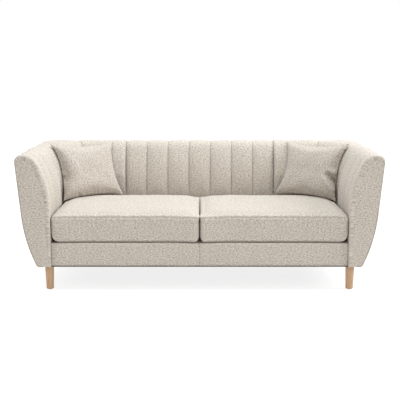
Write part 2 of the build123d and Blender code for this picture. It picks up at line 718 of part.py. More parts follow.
PILLOW_RISE = PILLOW_HEIGHT / 2 * cos(radians(PILLOW_LEAN))
PILLOW_Z = CUSHION_TOP_Z + PILLOW_RISE + PILLOW_CLEARANCE
pillow_place = Location((PILLOW_X, PILLOW_Y, PILLOW_Z))
pillow_place *= Location((0, 0, 0), (0, 0, -PILLOW_TURN))
pillow_place *= Location((0, 0, 0), (-PILLOW_LEAN, 0, 0))
closing_seam = region(
    (-PILLOW_WIDTH / 4, PILLOW_WIDTH / 4),
    (-GAP, GAP),
    (-PILLOW_HEIGHT / 2 - SEAM_OVERRUN, -PILLOW_HEIGHT / 2 + 4 * CLOTH),
)
with BuildPart() as pillow_cover:
    add(pillow_block(0))
    add(pillow_block(CLOTH), mode=Mode.SUBTRACT)
    add(closing_seam, mode=Mode.SUBTRACT)
save_pair(pillow_place * pillow_cover.part, "scatter_cushion_cover")
save_pair(pillow_place * pillow_block(PAD), "scatter_cushion_filling")
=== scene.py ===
import contextlib
import json
import math

import bpy
import bmesh
import numpy as np
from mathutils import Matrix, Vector
from mathutils.bvhtree import BVHTree


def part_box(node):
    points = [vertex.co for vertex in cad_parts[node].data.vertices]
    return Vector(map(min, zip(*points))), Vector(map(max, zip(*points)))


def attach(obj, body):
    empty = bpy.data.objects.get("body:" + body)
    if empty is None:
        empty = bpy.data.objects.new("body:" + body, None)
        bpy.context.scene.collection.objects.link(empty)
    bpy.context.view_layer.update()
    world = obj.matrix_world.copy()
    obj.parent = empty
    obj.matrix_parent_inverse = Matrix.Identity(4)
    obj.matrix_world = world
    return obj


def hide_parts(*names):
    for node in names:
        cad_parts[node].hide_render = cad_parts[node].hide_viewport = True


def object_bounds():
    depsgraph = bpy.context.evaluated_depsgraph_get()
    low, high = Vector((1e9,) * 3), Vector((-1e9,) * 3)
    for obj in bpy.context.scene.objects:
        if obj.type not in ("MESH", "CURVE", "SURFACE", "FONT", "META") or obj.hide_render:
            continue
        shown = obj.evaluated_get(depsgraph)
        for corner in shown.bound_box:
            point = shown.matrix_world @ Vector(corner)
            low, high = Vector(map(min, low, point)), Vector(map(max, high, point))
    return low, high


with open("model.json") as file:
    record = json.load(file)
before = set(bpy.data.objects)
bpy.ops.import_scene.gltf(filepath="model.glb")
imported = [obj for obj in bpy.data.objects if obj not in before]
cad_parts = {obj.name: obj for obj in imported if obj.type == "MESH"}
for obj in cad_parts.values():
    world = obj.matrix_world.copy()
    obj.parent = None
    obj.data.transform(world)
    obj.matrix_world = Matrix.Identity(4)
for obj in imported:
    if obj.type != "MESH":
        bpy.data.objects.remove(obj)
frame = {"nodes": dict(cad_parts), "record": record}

CAD_LOW, CAD_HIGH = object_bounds()
NODES = frame["nodes"]
BODY = "sofa_body"
SIDES = {"left": -1, "right": 1}

# ---------------------------------------------------------------- sizes, in metres
# Everything is worked out from the CAD's own boxes. Shapes are written for the right
# half, with X along the sofa, Y to the rear and Z up, and mirrored for the left half.
HALF_X = CAD_HIGH.x
FRONT_Y = CAD_LOW.y
TOP_Z = CAD_HIGH.z
BASE_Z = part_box("outside_back_cover")[0].z
DECK_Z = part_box("deck_pad")[1].z
INNER_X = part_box("inside_arm_cover_right")[0].x
WALL = HALF_X - INNER_X
CORNER_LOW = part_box("inside_corner_cover_right")[0]
CORNER_X, CORNER_Y = CORNER_LOW.x, CORNER_LOW.y
INNER_RADIUS = INNER_X - CORNER_X
INNER_Y = CORNER_Y + INNER_RADIUS
OUTER_CENTRE_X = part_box("outside_arm_cover_right")[0].x
CORNER_SQUARE = OUTER_CENTRE_X - CORNER_X

# The wall's cross-section: u runs outward from its inside face at seat height.
BEND_Z = BASE_Z + 0.299
LEAN_RADIUS = 0.711
INNER_ROLL = 0.080
OUTER_ROLL = 0.042
CREST = 0.001
ROLL_Z = TOP_Z + CREST - INNER_ROLL
OUTER_ROLL_Z = TOP_Z - OUTER_ROLL
LEAN_ANGLE = math.asin((ROLL_Z - BEND_Z) / (LEAN_RADIUS - INNER_ROLL))
ROLL_U = LEAN_RADIUS - (LEAN_RADIUS - INNER_ROLL) * math.cos(LEAN_ANGLE)
FLAT_START = ROLL_U - math.sqrt(INNER_ROLL**2 - (INNER_ROLL - CREST) ** 2)
FLAT_END = WALL - OUTER_ROLL
KNEE_U, KNEE_Z = WALL - 0.026, BEND_Z + 0.005
FOOT_U = WALL - 0.108
FOOT_ROUND = 0.022

# The sewn channels and the padding.
BACK_SEAM = 0.487
BACK_CHANNELS = 7
ARM_SEAMS = (0.092, 0.231)
CORNER_CHANNELS = 4
SEAM_SPREAD = 0.0035
SEAM_DIP, END_SEAM_DIP = 0.002, 0.0025  # how far the stitches pull the cloth in
PUCKER_LENGTH = 0.017
PUCKER_HEIGHT = 0.0005
TOP_FADE = 0.12  # height below the top over which the channels flatten
TOP_SINK_LOSS, TOP_CROWN_LOSS = 0.62, 0.72  # shares of their depth and fullness lost there
NO_LIMIT = 1.0


def bell(value, width):
    """1 at zero, falling smoothly to nothing over about twice the width."""
    return np.exp(-((value / width) ** 2))


def fade_in(value, start, width):
    """0 up to the start, then rising evenly to 1 over the width."""
    return np.clip((value - start) / width, 0, 1)


def round_off(depth, reach):
    """How far a quarter-round edge of this reach stands back, at a depth in from the edge."""
    near = np.clip(1 - depth / reach, 0, 1)
    return reach * (1 - np.sqrt(1 - near**2))


def run_lengths(rows):
    """Each row's distance along the section from its first row."""
    steps = np.hypot(np.diff(rows[:, 0]), np.diff(rows[:, 1]))
    return np.concatenate([[0], np.cumsum(steps)])


def arc_points(centre_u, centre_z, radius, start, end, step):
    """Points and outward normals on an arc; angles from +u towards +z."""
    count = max(2, int(abs(end - start) * radius / step) + 1)
    angles = np.linspace(start, end, count)
    cos, sin = np.cos(angles), np.sin(angles)
    return np.stack([centre_u + radius * cos, centre_z + radius * sin, cos, sin], 1)


def line_points(start, end, normal, count):
    """Evenly spaced points on a straight line, with one normal."""
    share = np.linspace(0, 1, count)[:, None]
    points = np.array(start) * (1 - share) + np.array(end) * share
    return np.hstack([points, np.tile(normal, (count, 1))])


def join_runs(*runs):
    """One run of rows (u, z, normal u, normal z), without the doubled joints."""
    return np.vstack([runs[0]] + [run[1:] for run in runs[1:]])


def inside_section(low_z, step=0.0075):
    """From low_z up the inside face and over the top to the seam at the outer roll."""
    upright = line_points((0, low_z), (0, BEND_Z), (-1, 0), int((BEND_Z - low_z) / step) + 2)
    lean = arc_points(LEAN_RADIUS, BEND_Z, LEAN_RADIUS, math.pi, math.pi - LEAN_ANGLE, step)
    flat_angle = math.acos((ROLL_U - FLAT_START) / INNER_ROLL)
    roll = arc_points(ROLL_U, ROLL_Z, INNER_ROLL, math.pi - LEAN_ANGLE, math.pi - flat_angle, step)
    flat = line_points((FLAT_START, TOP_Z), (FLAT_END, TOP_Z), (0, 1), 13)
    outer = arc_points(FLAT_END, OUTER_ROLL_Z, OUTER_ROLL, math.pi / 2, 0, step * 0.7)
    return join_runs(upright, lean, roll, flat, outer)


def outside_section(step=0.012):
    """From the outer seam down the outside face, round the foot and a little way under."""
    down = np.array([KNEE_U - WALL, KNEE_Z - OUTER_ROLL_Z])
    down /= np.linalg.norm(down)
    out = np.array([-down[1], down[0]])
    upper = line_points((WALL, OUTER_ROLL_Z), (KNEE_U, KNEE_Z), out, 27)
    # The arc that carries on from the knee and passes through the foot.
    to_foot = np.array([FOOT_U - KNEE_U, BASE_Z - KNEE_Z])
    radius = -(to_foot @ to_foot) / (2 * (to_foot @ out))
    centre = np.array([KNEE_U, KNEE_Z]) - radius * out
    first = math.atan2(out[1], out[0])
    foot = math.atan2(BASE_Z - centre[1], FOOT_U - centre[0])
    turn_left = FOOT_ROUND * math.tan((math.pi / 2 + foot) / 2)
    last = foot + turn_left / radius
    lower = arc_points(centre[0], centre[1], radius, first, last, step)
    heel = centre + (radius - FOOT_ROUND) * np.array([math.cos(last), math.sin(last)])
    under = arc_points(heel[0], heel[1], FOOT_ROUND, last, -math.pi / 2, 0.004)
    tuck = line_points((heel[0], heel[1] - FOOT_ROUND), (heel[0] - 0.02, heel[1] - FOOT_ROUND), (0, -1), 4)
    return join_runs(upper, lower, under, tuck)


def inner_plan(kind, value, u):
    """Plan position and outward direction on the inside face moved out by u."""
    if kind == "arm":
        return INNER_X + u, value + 0 * u, 1.0, 0.0
    if kind == "back":
        return value + 0 * u, INNER_Y + u, 0.0, 1.0
    cos, sin = math.cos(value), math.sin(value)
    return CORNER_X + (INNER_RADIUS + u) * cos, CORNER_Y + (INNER_RADIUS + u) * sin, cos, sin


def outer_plan(kind, value, u):
    """Plan position and outward direction on the outside face, where the corner is tighter."""
    if kind != "corner":
        return inner_plan(kind, value, u)
    cos, sin = math.cos(value), math.sin(value)
    square = CORNER_SQUARE
    radius = max(0.01, u + INNER_RADIUS - square)
    if abs(sin / max(cos, 1e-9)) * (square + radius) <= square:
        reach = (square + radius) / cos
        return CORNER_X + reach * cos, CORNER_Y + reach * sin, 1.0, 0.0
    if abs(cos / max(sin, 1e-9)) * (square + radius) <= square:
        reach = (square + radius) / sin
        return CORNER_X + reach * cos, CORNER_Y + reach * sin, 0.0, 1.0
    along = square * (cos + sin)
    reach = along + math.sqrt(along**2 - 2 * square**2 + radius**2)
    return (
        CORNER_X + reach * cos,
        CORNER_Y + reach * sin,
        (reach * cos - square) / radius,
        (reach * sin - square) / radius,
    )


def wall_column(kind, value, rows, rise, sign, outer_face=False):
    """One column of points up the section, each moved out along its normal by its rise."""
    points = np.zeros((len(rows), 3))
    for index, (u, z, normal_u, normal_z) in enumerate(rows):
        inner = inner_plan(kind, value, min(u, FLAT_START))
        outer = outer_plan(kind, value, u if outer_face else max(u, FLAT_END))
        share = 1.0 if outer_face else min(1, max(0, (u - FLAT_START) / (FLAT_END - FLAT_START)))
        x = inner[0] * (1 - share) + outer[0] * share
        y = inner[1] * (1 - share) + outer[1] * share
        side = outer if outer_face or u > FLAT_START else inner
        lift = rise[index]
        points[index] = (x + side[2] * normal_u * lift, y + side[3] * normal_u * lift, z + normal_z * lift)
    points[:, 0] *= sign
    return points


def wall_normals(kind, value, rows, sign, outer_face=False):
    """The outward directions that one column's points move along."""
    normals = wall_column(kind, value, rows, np.ones(len(rows)), sign, outer_face)
    return normals - wall_column(kind, value, rows, np.zeros(len(rows)), sign, outer_face)


def new_object(name, mesh):
    """Links a mesh as a new piece."""
    piece = bpy.data.objects.new(name, mesh)
    bpy.context.scene.collection.objects.link(piece)
    return piece


def set_attribute(mesh, name, values):
    """Stores one value, or one vector, for each point."""
    values = np.asarray(values, np.float32)
    kind, field = ("FLOAT", "value") if values.ndim == 1 else ("FLOAT_VECTOR", "vector")
    attribute = mesh.attributes.get(name) or mesh.attributes.new(name, kind, "POINT")
    attribute.data.foreach_set(field, values.ravel())


def grid_faces(rows, columns, offset=0, flip=False):
    """Quads of a grid of points stored row by row."""
    faces = []
    for row in range(rows - 1):
        for column in range(columns - 1):
            first = offset + row * columns + column
            face = [first, first + 1, first + columns + 1, first + columns]
            faces.append(face[::-1] if flip else face)
    return faces


def closed_sheet(name, front, back, cloth, seam):
    """A closed piece between two grids of points, joined all round the rim.

    cloth holds each point's place along the weave, in metres, and seam its distance from
    the nearest seam; the material reads both, and paints shade close to the seams.
    """
    rows, columns = front.shape[:2]
    count = rows * columns
    points = np.vstack([front.reshape(-1, 3), back.reshape(-1, 3)])
    faces = grid_faces(rows, columns) + grid_faces(rows, columns, count, True)
    rim = [(0, c) for c in range(columns)]
    rim += [(r, columns - 1) for r in range(1, rows)]
    rim += [(rows - 1, c) for c in range(columns - 2, -1, -1)]
    rim += [(r, 0) for r in range(rows - 2, 0, -1)]
    ring = [r * columns + c for r, c in rim]
    for first, second in zip(ring, ring[1:] + ring[:1]):
        faces.append([second, first, first + count, second + count])
    mesh = bpy.data.meshes.new(name)
    mesh.from_pydata(points.tolist(), [], faces)
    weave = np.zeros((2 * count, 3))
    weave[:count, :2] = cloth.reshape(-1, 2)
    weave[count:, :2] = cloth.reshape(-1, 2)
    set_attribute(mesh, "cloth", weave)
    set_attribute(mesh, "seam", np.tile(seam.ravel(), 2))
    tidy_normals(mesh)
    mesh.shade_smooth()
    return new_object(name, mesh)


@contextlib.contextmanager
def edited(mesh):
    """The mesh's faces and points for editing, written back afterwards."""
    work = bmesh.new()
    work.from_mesh(mesh)
    yield work
    work.to_mesh(mesh)
    work.free()


def tidy_normals(mesh, check_volume=False):
    """Turns faces one way; with the check, outward, so that pressure inside pushes out."""
    with edited(mesh) as work:
        bmesh.ops.recalc_face_normals(work, faces=work.faces)
        if check_volume and work.calc_volume(signed=True) < 0:
            bmesh.ops.reverse_faces(work, faces=work.faces)


def surface_lengths(points):
    """Each grid point's distance along the surface from the grid's middle column and first row."""
    across = np.linalg.norm(np.diff(points, axis=0), axis=2)
    across = np.vstack([np.zeros((1, points.shape[1])), np.cumsum(across, axis=0)])
    across -= across[points.shape[0] // 2]
    up = np.linalg.norm(np.diff(points, axis=1), axis=2)
    up = np.hstack([np.zeros((points.shape[0], 1)), np.cumsum(up, axis=1)])
    return np.stack([across, up], 2)


def ripple(points, scale, seed):
    """Smooth repeatable unevenness between -1 and 1, from a few crossing waves."""
    draw = np.random.default_rng(seed)
    total = np.zeros(points.shape[:-1])
    for _ in range(7):
        direction = draw.normal(size=3)
        direction /= np.linalg.norm(direction)
        length = scale * draw.uniform(0.6, 1.8)
        total += np.sin(points @ direction * 2 * math.pi / length + draw.uniform(0, 2 * math.pi))
    return total / 7**0.5 / 1.5


# ---------------------------------------------------------------- materials


class Nodes:
    """A short way to write a node material."""

    def __init__(self, name):
        self.material = bpy.data.materials.new(name)
        self.material.use_nodes = True
        self.tree = self.material.node_tree
        self.shader = self.tree.nodes["Principled BSDF"]

    def add(self, kind, settings=None, **inputs):
        node = self.tree.nodes.new("ShaderNode" + kind)
        for key, value in (settings or {}).items():
            setattr(node, key, value)
        for key, value in inputs.items():
            self.put(node.inputs[key], value)
        return node

    def put(self, socket, value):
        if isinstance(value, bpy.types.NodeSocket):
            self.tree.links.new(value, socket)
        else:
            socket.default_value = value

    def math(self, operation, first, second=0.0):
        node = self.add("Math", {"operation": operation})
        self.put(node.inputs[0], first)
        self.put(node.inputs[1], second)
        return node.outputs[0]

    def ramp(self, value, stops):
        """A colour ramp from (position, colour or grey) stops."""
        node = self.add("ValToRGB", Fac=value)
        elements = node.color_ramp.elements
        while len(elements) < len(stops):
            elements.new(0.5)
        for element, (position, colour) in zip(elements, stops):
            element.position = position
            element.color = (colour,) * 3 + (1,) if isinstance(colour, (int, float)) else (*colour, 1)
        return node.outputs["Color"]

    def mix(self, share, first, second, blend="MIX"):
        node = self.add("Mix", {"data_type": "RGBA", "blend_type": blend})
        self.put(node.inputs[0], share)
        self.put(node.inputs[6], first)
        self.put(node.inputs[7], second)
        return node.outputs[2]

    def noise(self, vector, scale, detail=3.0, roughness=0.5, distortion=0.0):
        looks = {"Scale": scale, "Detail": detail, "Roughness": roughness, "Distortion": distortion}
        return self.add("TexNoise", Vector=vector, **looks).outputs["Fac"]

    def stretch(self, vector, scale):
        node = self.add("Mapping", Vector=vector, Scale=scale)
        return node.outputs[0]

    def bump(self, height, distance, strength=1.0, normal=None):
        node = self.add("Bump", Height=height, Distance=distance, Strength=strength)
        if normal is not None:
            self.put(node.inputs["Normal"], normal)
        return node.outputs[0]

    def finish(self, colour, roughness, normal=None, **constants):
        self.put(self.shader.inputs["Base Color"], colour)
        self.put(self.shader.inputs["Roughness"], roughness)
        if normal is not None:
            self.put(self.shader.inputs["Normal"], normal)
        for key, value in constants.items():
            self.shader.inputs[key.replace("_", " ")].default_value = value
        return self.material


def srgb(red, green, blue):
    """A colour given as 0-255 screen values, as Blender's linear numbers."""
    return tuple(
        c / 255 / 12.92 if c <= 10 else ((c / 255 + 0.055) / 1.055) ** 2.4 for c in (red, green, blue)
    )


def dimmed(colour, share):
    """The same colour at a share of its brightness."""
    return tuple(c * share for c in colour)


THREAD = 0.0016


def weave_height(n, cloth, thread):
    """Crossing waves from 0 to 1, one for each thread."""
    parts = n.add("SeparateXYZ", Vector=cloth)
    turns = 2 * math.pi / thread
    waves = [n.math("SINE", n.math("MULTIPLY", parts.outputs[axis], turns)) for axis in (0, 1)]
    crossing = n.math("MULTIPLY", *waves)
    return n.math("ADD", n.math("MULTIPLY", crossing, 0.5), 0.5)


def upholstery_cloth(name, light, dark, fleck):
    """Plain-woven mixed-yarn cloth: pale and dark flecks, a thread-by-thread weave, painted shade between
    the threads and painted shade along the seams.
    """
    n = Nodes(name)
    cloth = n.add("Attribute", {"attribute_name": "cloth"}).outputs["Vector"]
    seam = n.add("Attribute", {"attribute_name": "seam"}).outputs["Fac"]
    threads = weave_height(n, cloth, THREAD)
    slub = n.noise(n.stretch(cloth, (95, 170, 1)), 1.0, 4.0, 0.65)
    fine = n.noise(n.stretch(cloth, (330, 420, 1)), 1.0, 3.0, 0.6)
    streak = n.noise(n.stretch(cloth, (240, 60, 1)), 1.0, 2.0, 0.5)
    cloud = n.noise(cloth, 9.0, 4.0, 0.55)
    yarn = n.ramp(slub, [(0.33, dark), (0.48, light), (0.54, light), (0.70, fleck)])
    speckle = n.ramp(fine, [(0.36, 0.76), (0.50, 1.0), (0.64, 1.20)])
    cross = n.ramp(streak, [(0.36, 0.90), (0.60, 1.03)])
    shade = n.ramp(cloud, [(0.25, 0.96), (0.75, 1.03)])
    # Painted shade between the threads of the weave.
    thread_gap_shade = n.ramp(threads, [(0.0, 0.88), (0.5, 1.0)])
    colour = yarn
    for layer in (speckle, cross, shade, thread_gap_shade):
        colour = n.mix(1.0, colour, layer, "MULTIPLY")
    # Painted shade: the colour darkens close to each seam, where the cloth dips in.
    painted_seam_shade = n.ramp(n.math("MULTIPLY", seam, 100.0), [(0.0, 0.66), (0.14, 0.82), (0.40, 0.97), (0.8, 1.0)])
    colour = n.mix(1.0, colour, painted_seam_shade, "MULTIPLY")
    fuzz = n.noise(cloth, 900.0, 2.0, 0.6)
    roughness = n.ramp(slub, [(0.3, 0.96), (0.7, 0.82)])
    normal = n.bump(threads, 0.00035, 0.7)
    normal = n.bump(fine, 0.0008, 0.7, normal)
    normal = n.bump(fuzz, 0.0002, 0.4, normal)
    return n.finish(colour, roughness, normal, Sheen_Weight=0.2, Sheen_Roughness=0.5)


def plain_cloth(name, colour, scale=0.0012):
    """A thin plain lining cloth, with painted shade between its threads."""
    n = Nodes(name)
    cloth = n.add("Attribute", {"attribute_name": "cloth"}).outputs["Vector"]
    threads = weave_height(n, cloth, scale)
    cloud = n.noise(cloth, 14.0, 4.0, 0.6)
    base = n.ramp(cloud, [(0.3, dimmed(colour, 0.78)), (0.7, colour)])
    # Painted shade between the threads of the weave.
    base = n.mix(0.25, base, n.ramp(threads, [(0.0, 0.6), (0.6, 1.0)]), "MULTIPLY")
    return n.finish(base, n.ramp(cloud, [(0.3, 0.95), (0.7, 0.85)]), n.bump(threads, 0.0002, 0.6))


def wood(name, light, dark, grain_scale, roughness=0.45, coat=0.0, along=2):
    """Timber with grain lines drawn along one axis, darker pores and slight wear."""
    n = Nodes(name)
    place = n.add("TexCoord").outputs["Object"]
    squeeze = [grain_scale] * 3
    squeeze[along] = grain_scale * 0.045
    fine = [grain_scale * 6] * 3
    fine[along] = grain_scale * 0.3
    rings = n.noise(n.stretch(place, squeeze), 1.0, 4.0, 0.6, 1.2)
    pores = n.noise(n.stretch(place, fine), 1.0, 3.0, 0.7)
    cloud = n.noise(place, 12.0, 2.0, 0.5)
    colour = n.ramp(rings, [(0.30, dark), (0.48, light), (0.62, dimmed(light, 0.9)), (0.75, light)])
    colour = n.mix(1.0, colour, n.ramp(pores, [(0.34, 0.74), (0.50, 1.0)]), "MULTIPLY")
    colour = n.mix(1.0, colour, n.ramp(cloud, [(0.3, 0.93), (0.7, 1.05)]), "MULTIPLY")
    worn = n.ramp(n.add("NewGeometry").outputs["Pointiness"], [(0.52, 0.0), (0.60, 0.35)])
    rubbed = (*(min(1, c * 1.25) for c in light), 1)
    colour = n.mix(worn, colour, rubbed)
    normal = n.bump(pores, 0.0002, 0.5)
    dullness = n.ramp(rings, [(0.3, roughness + 0.12), (0.7, roughness)])
    return n.finish(colour, dullness, normal, Coat_Weight=coat, Coat_Roughness=0.35)


def foam(name, colour):
    """Open-cell foam, with painted shade in its pores."""
    n = Nodes(name)
    place = n.add("TexCoord").outputs["Object"]
    cells = n.add("TexVoronoi", Vector=place, Scale=500.0).outputs["Distance"]
    cloud = n.noise(place, 20.0)
    # Painted shade: darker towards the middle of each cell, in the pores.
    pore_shade = n.ramp(cells, [(0.0, dimmed(colour, 0.7)), (0.5, colour)])
    base = n.mix(1.0, pore_shade, n.ramp(cloud, [(0.3, 0.92), (0.7, 1.0)]), "MULTIPLY")
    return n.finish(base, n.ramp(cloud, [(0.3, 0.95), (0.7, 0.88)]), n.bump(cells, 0.0004, 0.6))


def metal(name, colour, roughness):
    """Plated steel with faint drawing marks and dull patches."""
    n = Nodes(name)
    place = n.add("TexCoord").outputs["Object"]
    cloud = n.noise(place, 60.0, 5.0, 0.6)
    marks = n.noise(n.stretch(place, (900, 60, 900)), 1.0, 2.0)
    base = n.ramp(cloud, [(0.3, dimmed(colour, 0.75)), (0.7, colour)])
    dullness = n.ramp(cloud, [(0.3, roughness + 0.2), (0.7, roughness)])
    return n.finish(base, dullness, n.bump(marks, 0.00005, 0.4), Metallic=1.0)


def plastic(name, colour, roughness):
    """Moulded plastic with a fine spark-eroded grain."""
    n = Nodes(name)
    place = n.add("TexCoord").outputs["Object"]
    grain = n.noise(place, 1800.0, 2.0, 0.6)
    scuff = n.noise(place, 45.0, 5.0, 0.65)
    base = n.ramp(scuff, [(0.3, dimmed(colour, 0.8)), (0.7, colour)])
    dullness = n.ramp(scuff, [(0.35, roughness), (0.65, roughness + 0.2)])
    return n.finish(base, dullness, n.bump(grain, 0.00006, 0.5))


UPHOLSTERY = upholstery_cloth(
    "upholstery_cloth", srgb(190, 180, 168), srgb(132, 121, 108), srgb(229, 222, 212)
)
# A slightly darker copy of the upholstery cloth: painted shade that dims the scatter cushions.
SHADED_SCATTER_CLOTH = upholstery_cloth(
    "scatter_cloth_painted_shade", srgb(184, 174, 163), srgb(128, 117, 104), srgb(223, 216, 206)
)
OAK = wood("oak", srgb(186, 150, 114), srgb(150, 112, 78), 60.0, 0.42, 0.15)
TIMBER = wood("frame_timber", srgb(205, 178, 138), srgb(178, 146, 104), 30.0, 0.7, 0.0, 0)
FOAM = foam("foam", srgb(228, 216, 176))
LINING = plain_cloth("lining_cloth", srgb(58, 55, 52))
DECK = plain_cloth("deck_cloth", srgb(150, 141, 131), 0.0015)
ZIP_TAPE = plain_cloth("zip_tape", srgb(168, 158, 147), 0.0009)
STEEL = metal("zinc_steel", srgb(196, 196, 198), 0.32)
GLIDE = plastic("glide_plastic", srgb(74, 60, 48), 0.45)

CAD_FINISH = {
    "oak": OAK, "frame_timber": TIMBER, "foam": FOAM, "lining": LINING, "upholstery": UPHOLSTERY,
    "zip_tape": ZIP_TAPE, "zinc_steel": STEEL, "glide_plastic": GLIDE,
}
SLOT_OF = {part["node"]: part["material_slot"] for part in frame["record"]["subparts"]}


def dress(piece, material, body=BODY):
    """Gives a finished piece its material and its body."""
    piece.data.materials.clear()
    piece.data.materials.append(material)
    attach(piece, body)
    return piece


# ---------------------------------------------------------------- the channelled inside


def spread(count):
    """Shares from 0 to 1 that lie close together at both ends."""
    return (1 - np.cos(np.pi * np.arange(count + 1) / count)) / 2


def channel_columns(kind, start, end, count=22, first_round=2.6, last_round=2.6):
    """Columns across one channel: (kind, value, share across, profile 0 to 1)."""
    columns = []
    for share in spread(count):
        away = abs(2 * share - 1)
        power = first_round if share < 0.5 else last_round
        profile = max(0.0, 1 - away**power)
        columns.append((kind, start + (end - start) * share, share, profile))
    return columns


def column_width(column, other):
    """Distance along the seat-level path between two columns."""
    length = abs(column[1] - other[1])
    return length * INNER_RADIUS if column[0] == "corner" else length


def lining(name, channels, low_z, crown, sink, sign, extra=None, thickness=0.014):
    """A padded, channelled piece of the inside face, from low_z over the top to the outer seam.

    channels is a list of column lists. crown is how far a channel stands out between its
    seams, sink how far the seams lie below the face.
    """
    rows = inside_section(low_z)
    height = run_lengths(rows)
    columns = []
    for channel in channels:
        width = sum(column_width(a, b) for a, b in zip(channel[1:], channel))
        for index, column in enumerate(channel):
            if columns and not index:
                continue
            gap = min(column[2], 1 - column[2]) * width
            if column[0] == "arm" and channel is channels[0]:
                gap = (1 - column[2]) * width
            columns.append((column, gap))
    # Padding may stand out no further than the face leans back, so a lifted cushion clears it.
    room = np.where(rows[:, 1] < BEND_Z + 0.2, rows[:, 0] + 0.0005, NO_LIMIT)
    room[rows[:, 0] > FLAT_START] = NO_LIMIT
    top = fade_in(rows[:, 1], TOP_Z - TOP_FADE, TOP_FADE)
    start_up = fade_in(rows[:, 1], BEND_Z - 0.03, 0.08)
    end_seam = height[-1] - height
    front, seam = [], []
    for column, gap in columns:
        deep = sink * (1 - TOP_SINK_LOSS * top)
        rise = crown * column[3] * (1 - TOP_CROWN_LOSS * top) - deep
        rise -= SEAM_DIP * bell(gap, SEAM_SPREAD)
        if extra is not None:
            rise = rise + extra(column, rows)
        rise = np.minimum(rise, room)
        rise = rise * start_up - 0.001 * (1 - start_up)
        rise = rise * (1 - bell(end_seam, 0.02)) - END_SEAM_DIP * bell(end_seam, 0.006)
        front.append(wall_column(column[0], column[1], rows, rise, sign))
        seam.append(np.minimum(gap, end_seam))
    front = np.array(front)
    noise = ripple(front, 0.11, 11) * 0.0009 + ripple(front, 0.035, 12) * 0.0004
    cloth, seam = surface_lengths(front), np.array(seam)
    wander = ripple(front, 0.09, 13) * 5
    pucker = bell(seam, 0.016) * np.sin(height[None, :] * 2 * math.pi / PUCKER_LENGTH + wander)
    calm = fade_in(end_seam, 0, 0.03)[None, :]
    offset = (noise + pucker * PUCKER_HEIGHT) * calm
    back = []
    for index, (column, _) in enumerate(columns):
        normals = wall_normals(column[0], column[1], rows, sign)
        front[index] += normals * offset[index][:, None]
        depth = thickness * np.clip(end_seam / 0.05, 0.25, 1)
        back.append(wall_column(column[0], column[1], rows, -sink - depth, sign))
    return closed_sheet(name, front, np.array(back), cloth, seam)


CORNER_STEP = 0.008
END_GROOVE = 0.010


def back_end_groove(column, rows):
    """The back sinks towards its end seams, more so lower down."""
    from_end = BACK_SEAM - abs(column[1])
    deeper = np.clip((TOP_Z - rows[:, 1]) / (TOP_Z - BEND_Z), 0, 1)
    return -END_GROOVE * bell(from_end, 0.018) * (0.35 + 0.65 * deeper)


def corner_step(column, rows):
    """The corner stands forward of the back beside its seam."""
    if column[0] != "back":
        return 0.0
    share = min(1.0, max(0.0, (column[1] - BACK_SEAM) / (CORNER_X - BACK_SEAM)))
    edge = min(1.0, (column[1] - BACK_SEAM) / 0.012)
    lower = fade_in(TOP_Z - rows[:, 1], 0, 0.10) * (rows[:, 0] < FLAT_START)
    return CORNER_STEP * (1 - 0.5 * share) * math.sqrt(max(0.0, edge * (2 - edge))) * lower


def arm_front_round(column, rows):
    """The arm padding rounds off where it meets the front panel."""
    depth = column[1] - FRONT_Y
    fuller = 0.005 * fade_in(rows[:, 0], FLAT_START, WALL) * min(1.0, depth / 0.35)
    proud = 0.006 * fade_in(rows[:, 1], BEND_Z, 0.15)
    return proud + fuller - round_off(depth, 0.009)


LINING_LOW = DECK_Z - 0.002

back_channels = []
edges = np.linspace(-BACK_SEAM, BACK_SEAM, BACK_CHANNELS + 1)
for left_edge, right_edge in zip(edges, edges[1:]):
    back_channels.append(channel_columns("back", left_edge, right_edge))
back_piece = lining("back_channels", back_channels, LINING_LOW, 0.013, 0.009, 1, back_end_groove)
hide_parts("inside_back_cover", "back_foam")
dress(back_piece, UPHOLSTERY)

CORNER_RUN = CORNER_X - BACK_SEAM + INNER_RADIUS * math.pi / 2
FAN = CORNER_RUN / CORNER_CHANNELS / INNER_RADIUS
for side, sign in SIDES.items():
    # From the arm round to the back: whole channels on the arc, and the last runs on to the seam.
    channels = [channel_columns("corner", i * FAN, (i + 1) * FAN) for i in range(CORNER_CHANNELS - 1)]
    bend_share = (math.pi / 2 - (CORNER_CHANNELS - 1) * FAN) / FAN
    last = []
    for _, _, share, profile in channel_columns("corner", 0, 1, 30, last_round=6):
        if share < bend_share:
            last.append(("corner", (CORNER_CHANNELS - 1 + share) * FAN, share, profile))
        else:
            run = (share - bend_share) / (1 - bend_share)
            last.append(("back", CORNER_X - (CORNER_X - BACK_SEAM) * run, share, profile))
    channels.append(last)
    piece = lining(f"corner_channels_{side}", channels, LINING_LOW, 0.016, 0.008, sign, corner_step)
    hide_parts(f"inside_corner_cover_{side}")
    dress(piece, UPHOLSTERY)

    arm_edges = [FRONT_Y + 0.002] + [FRONT_Y + depth for depth in ARM_SEAMS] + [CORNER_Y]
    channels = []
    for index, (start, end) in enumerate(zip(arm_edges, arm_edges[1:])):
        channels.append(channel_columns("arm", start, end, first_round=2.6 if index else 8))
    piece = lining(f"arm_channels_{side}", channels, BASE_Z + 0.002, 0.013, 0.008, sign, arm_front_round)
    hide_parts(f"inside_arm_cover_{side}", f"arm_foam_{side}")
    dress(piece, UPHOLSTERY)


# ---------------------------------------------------------------- the outside covers


COVER_SWELL = 0.0035
COVER_THICKNESS = 0.003


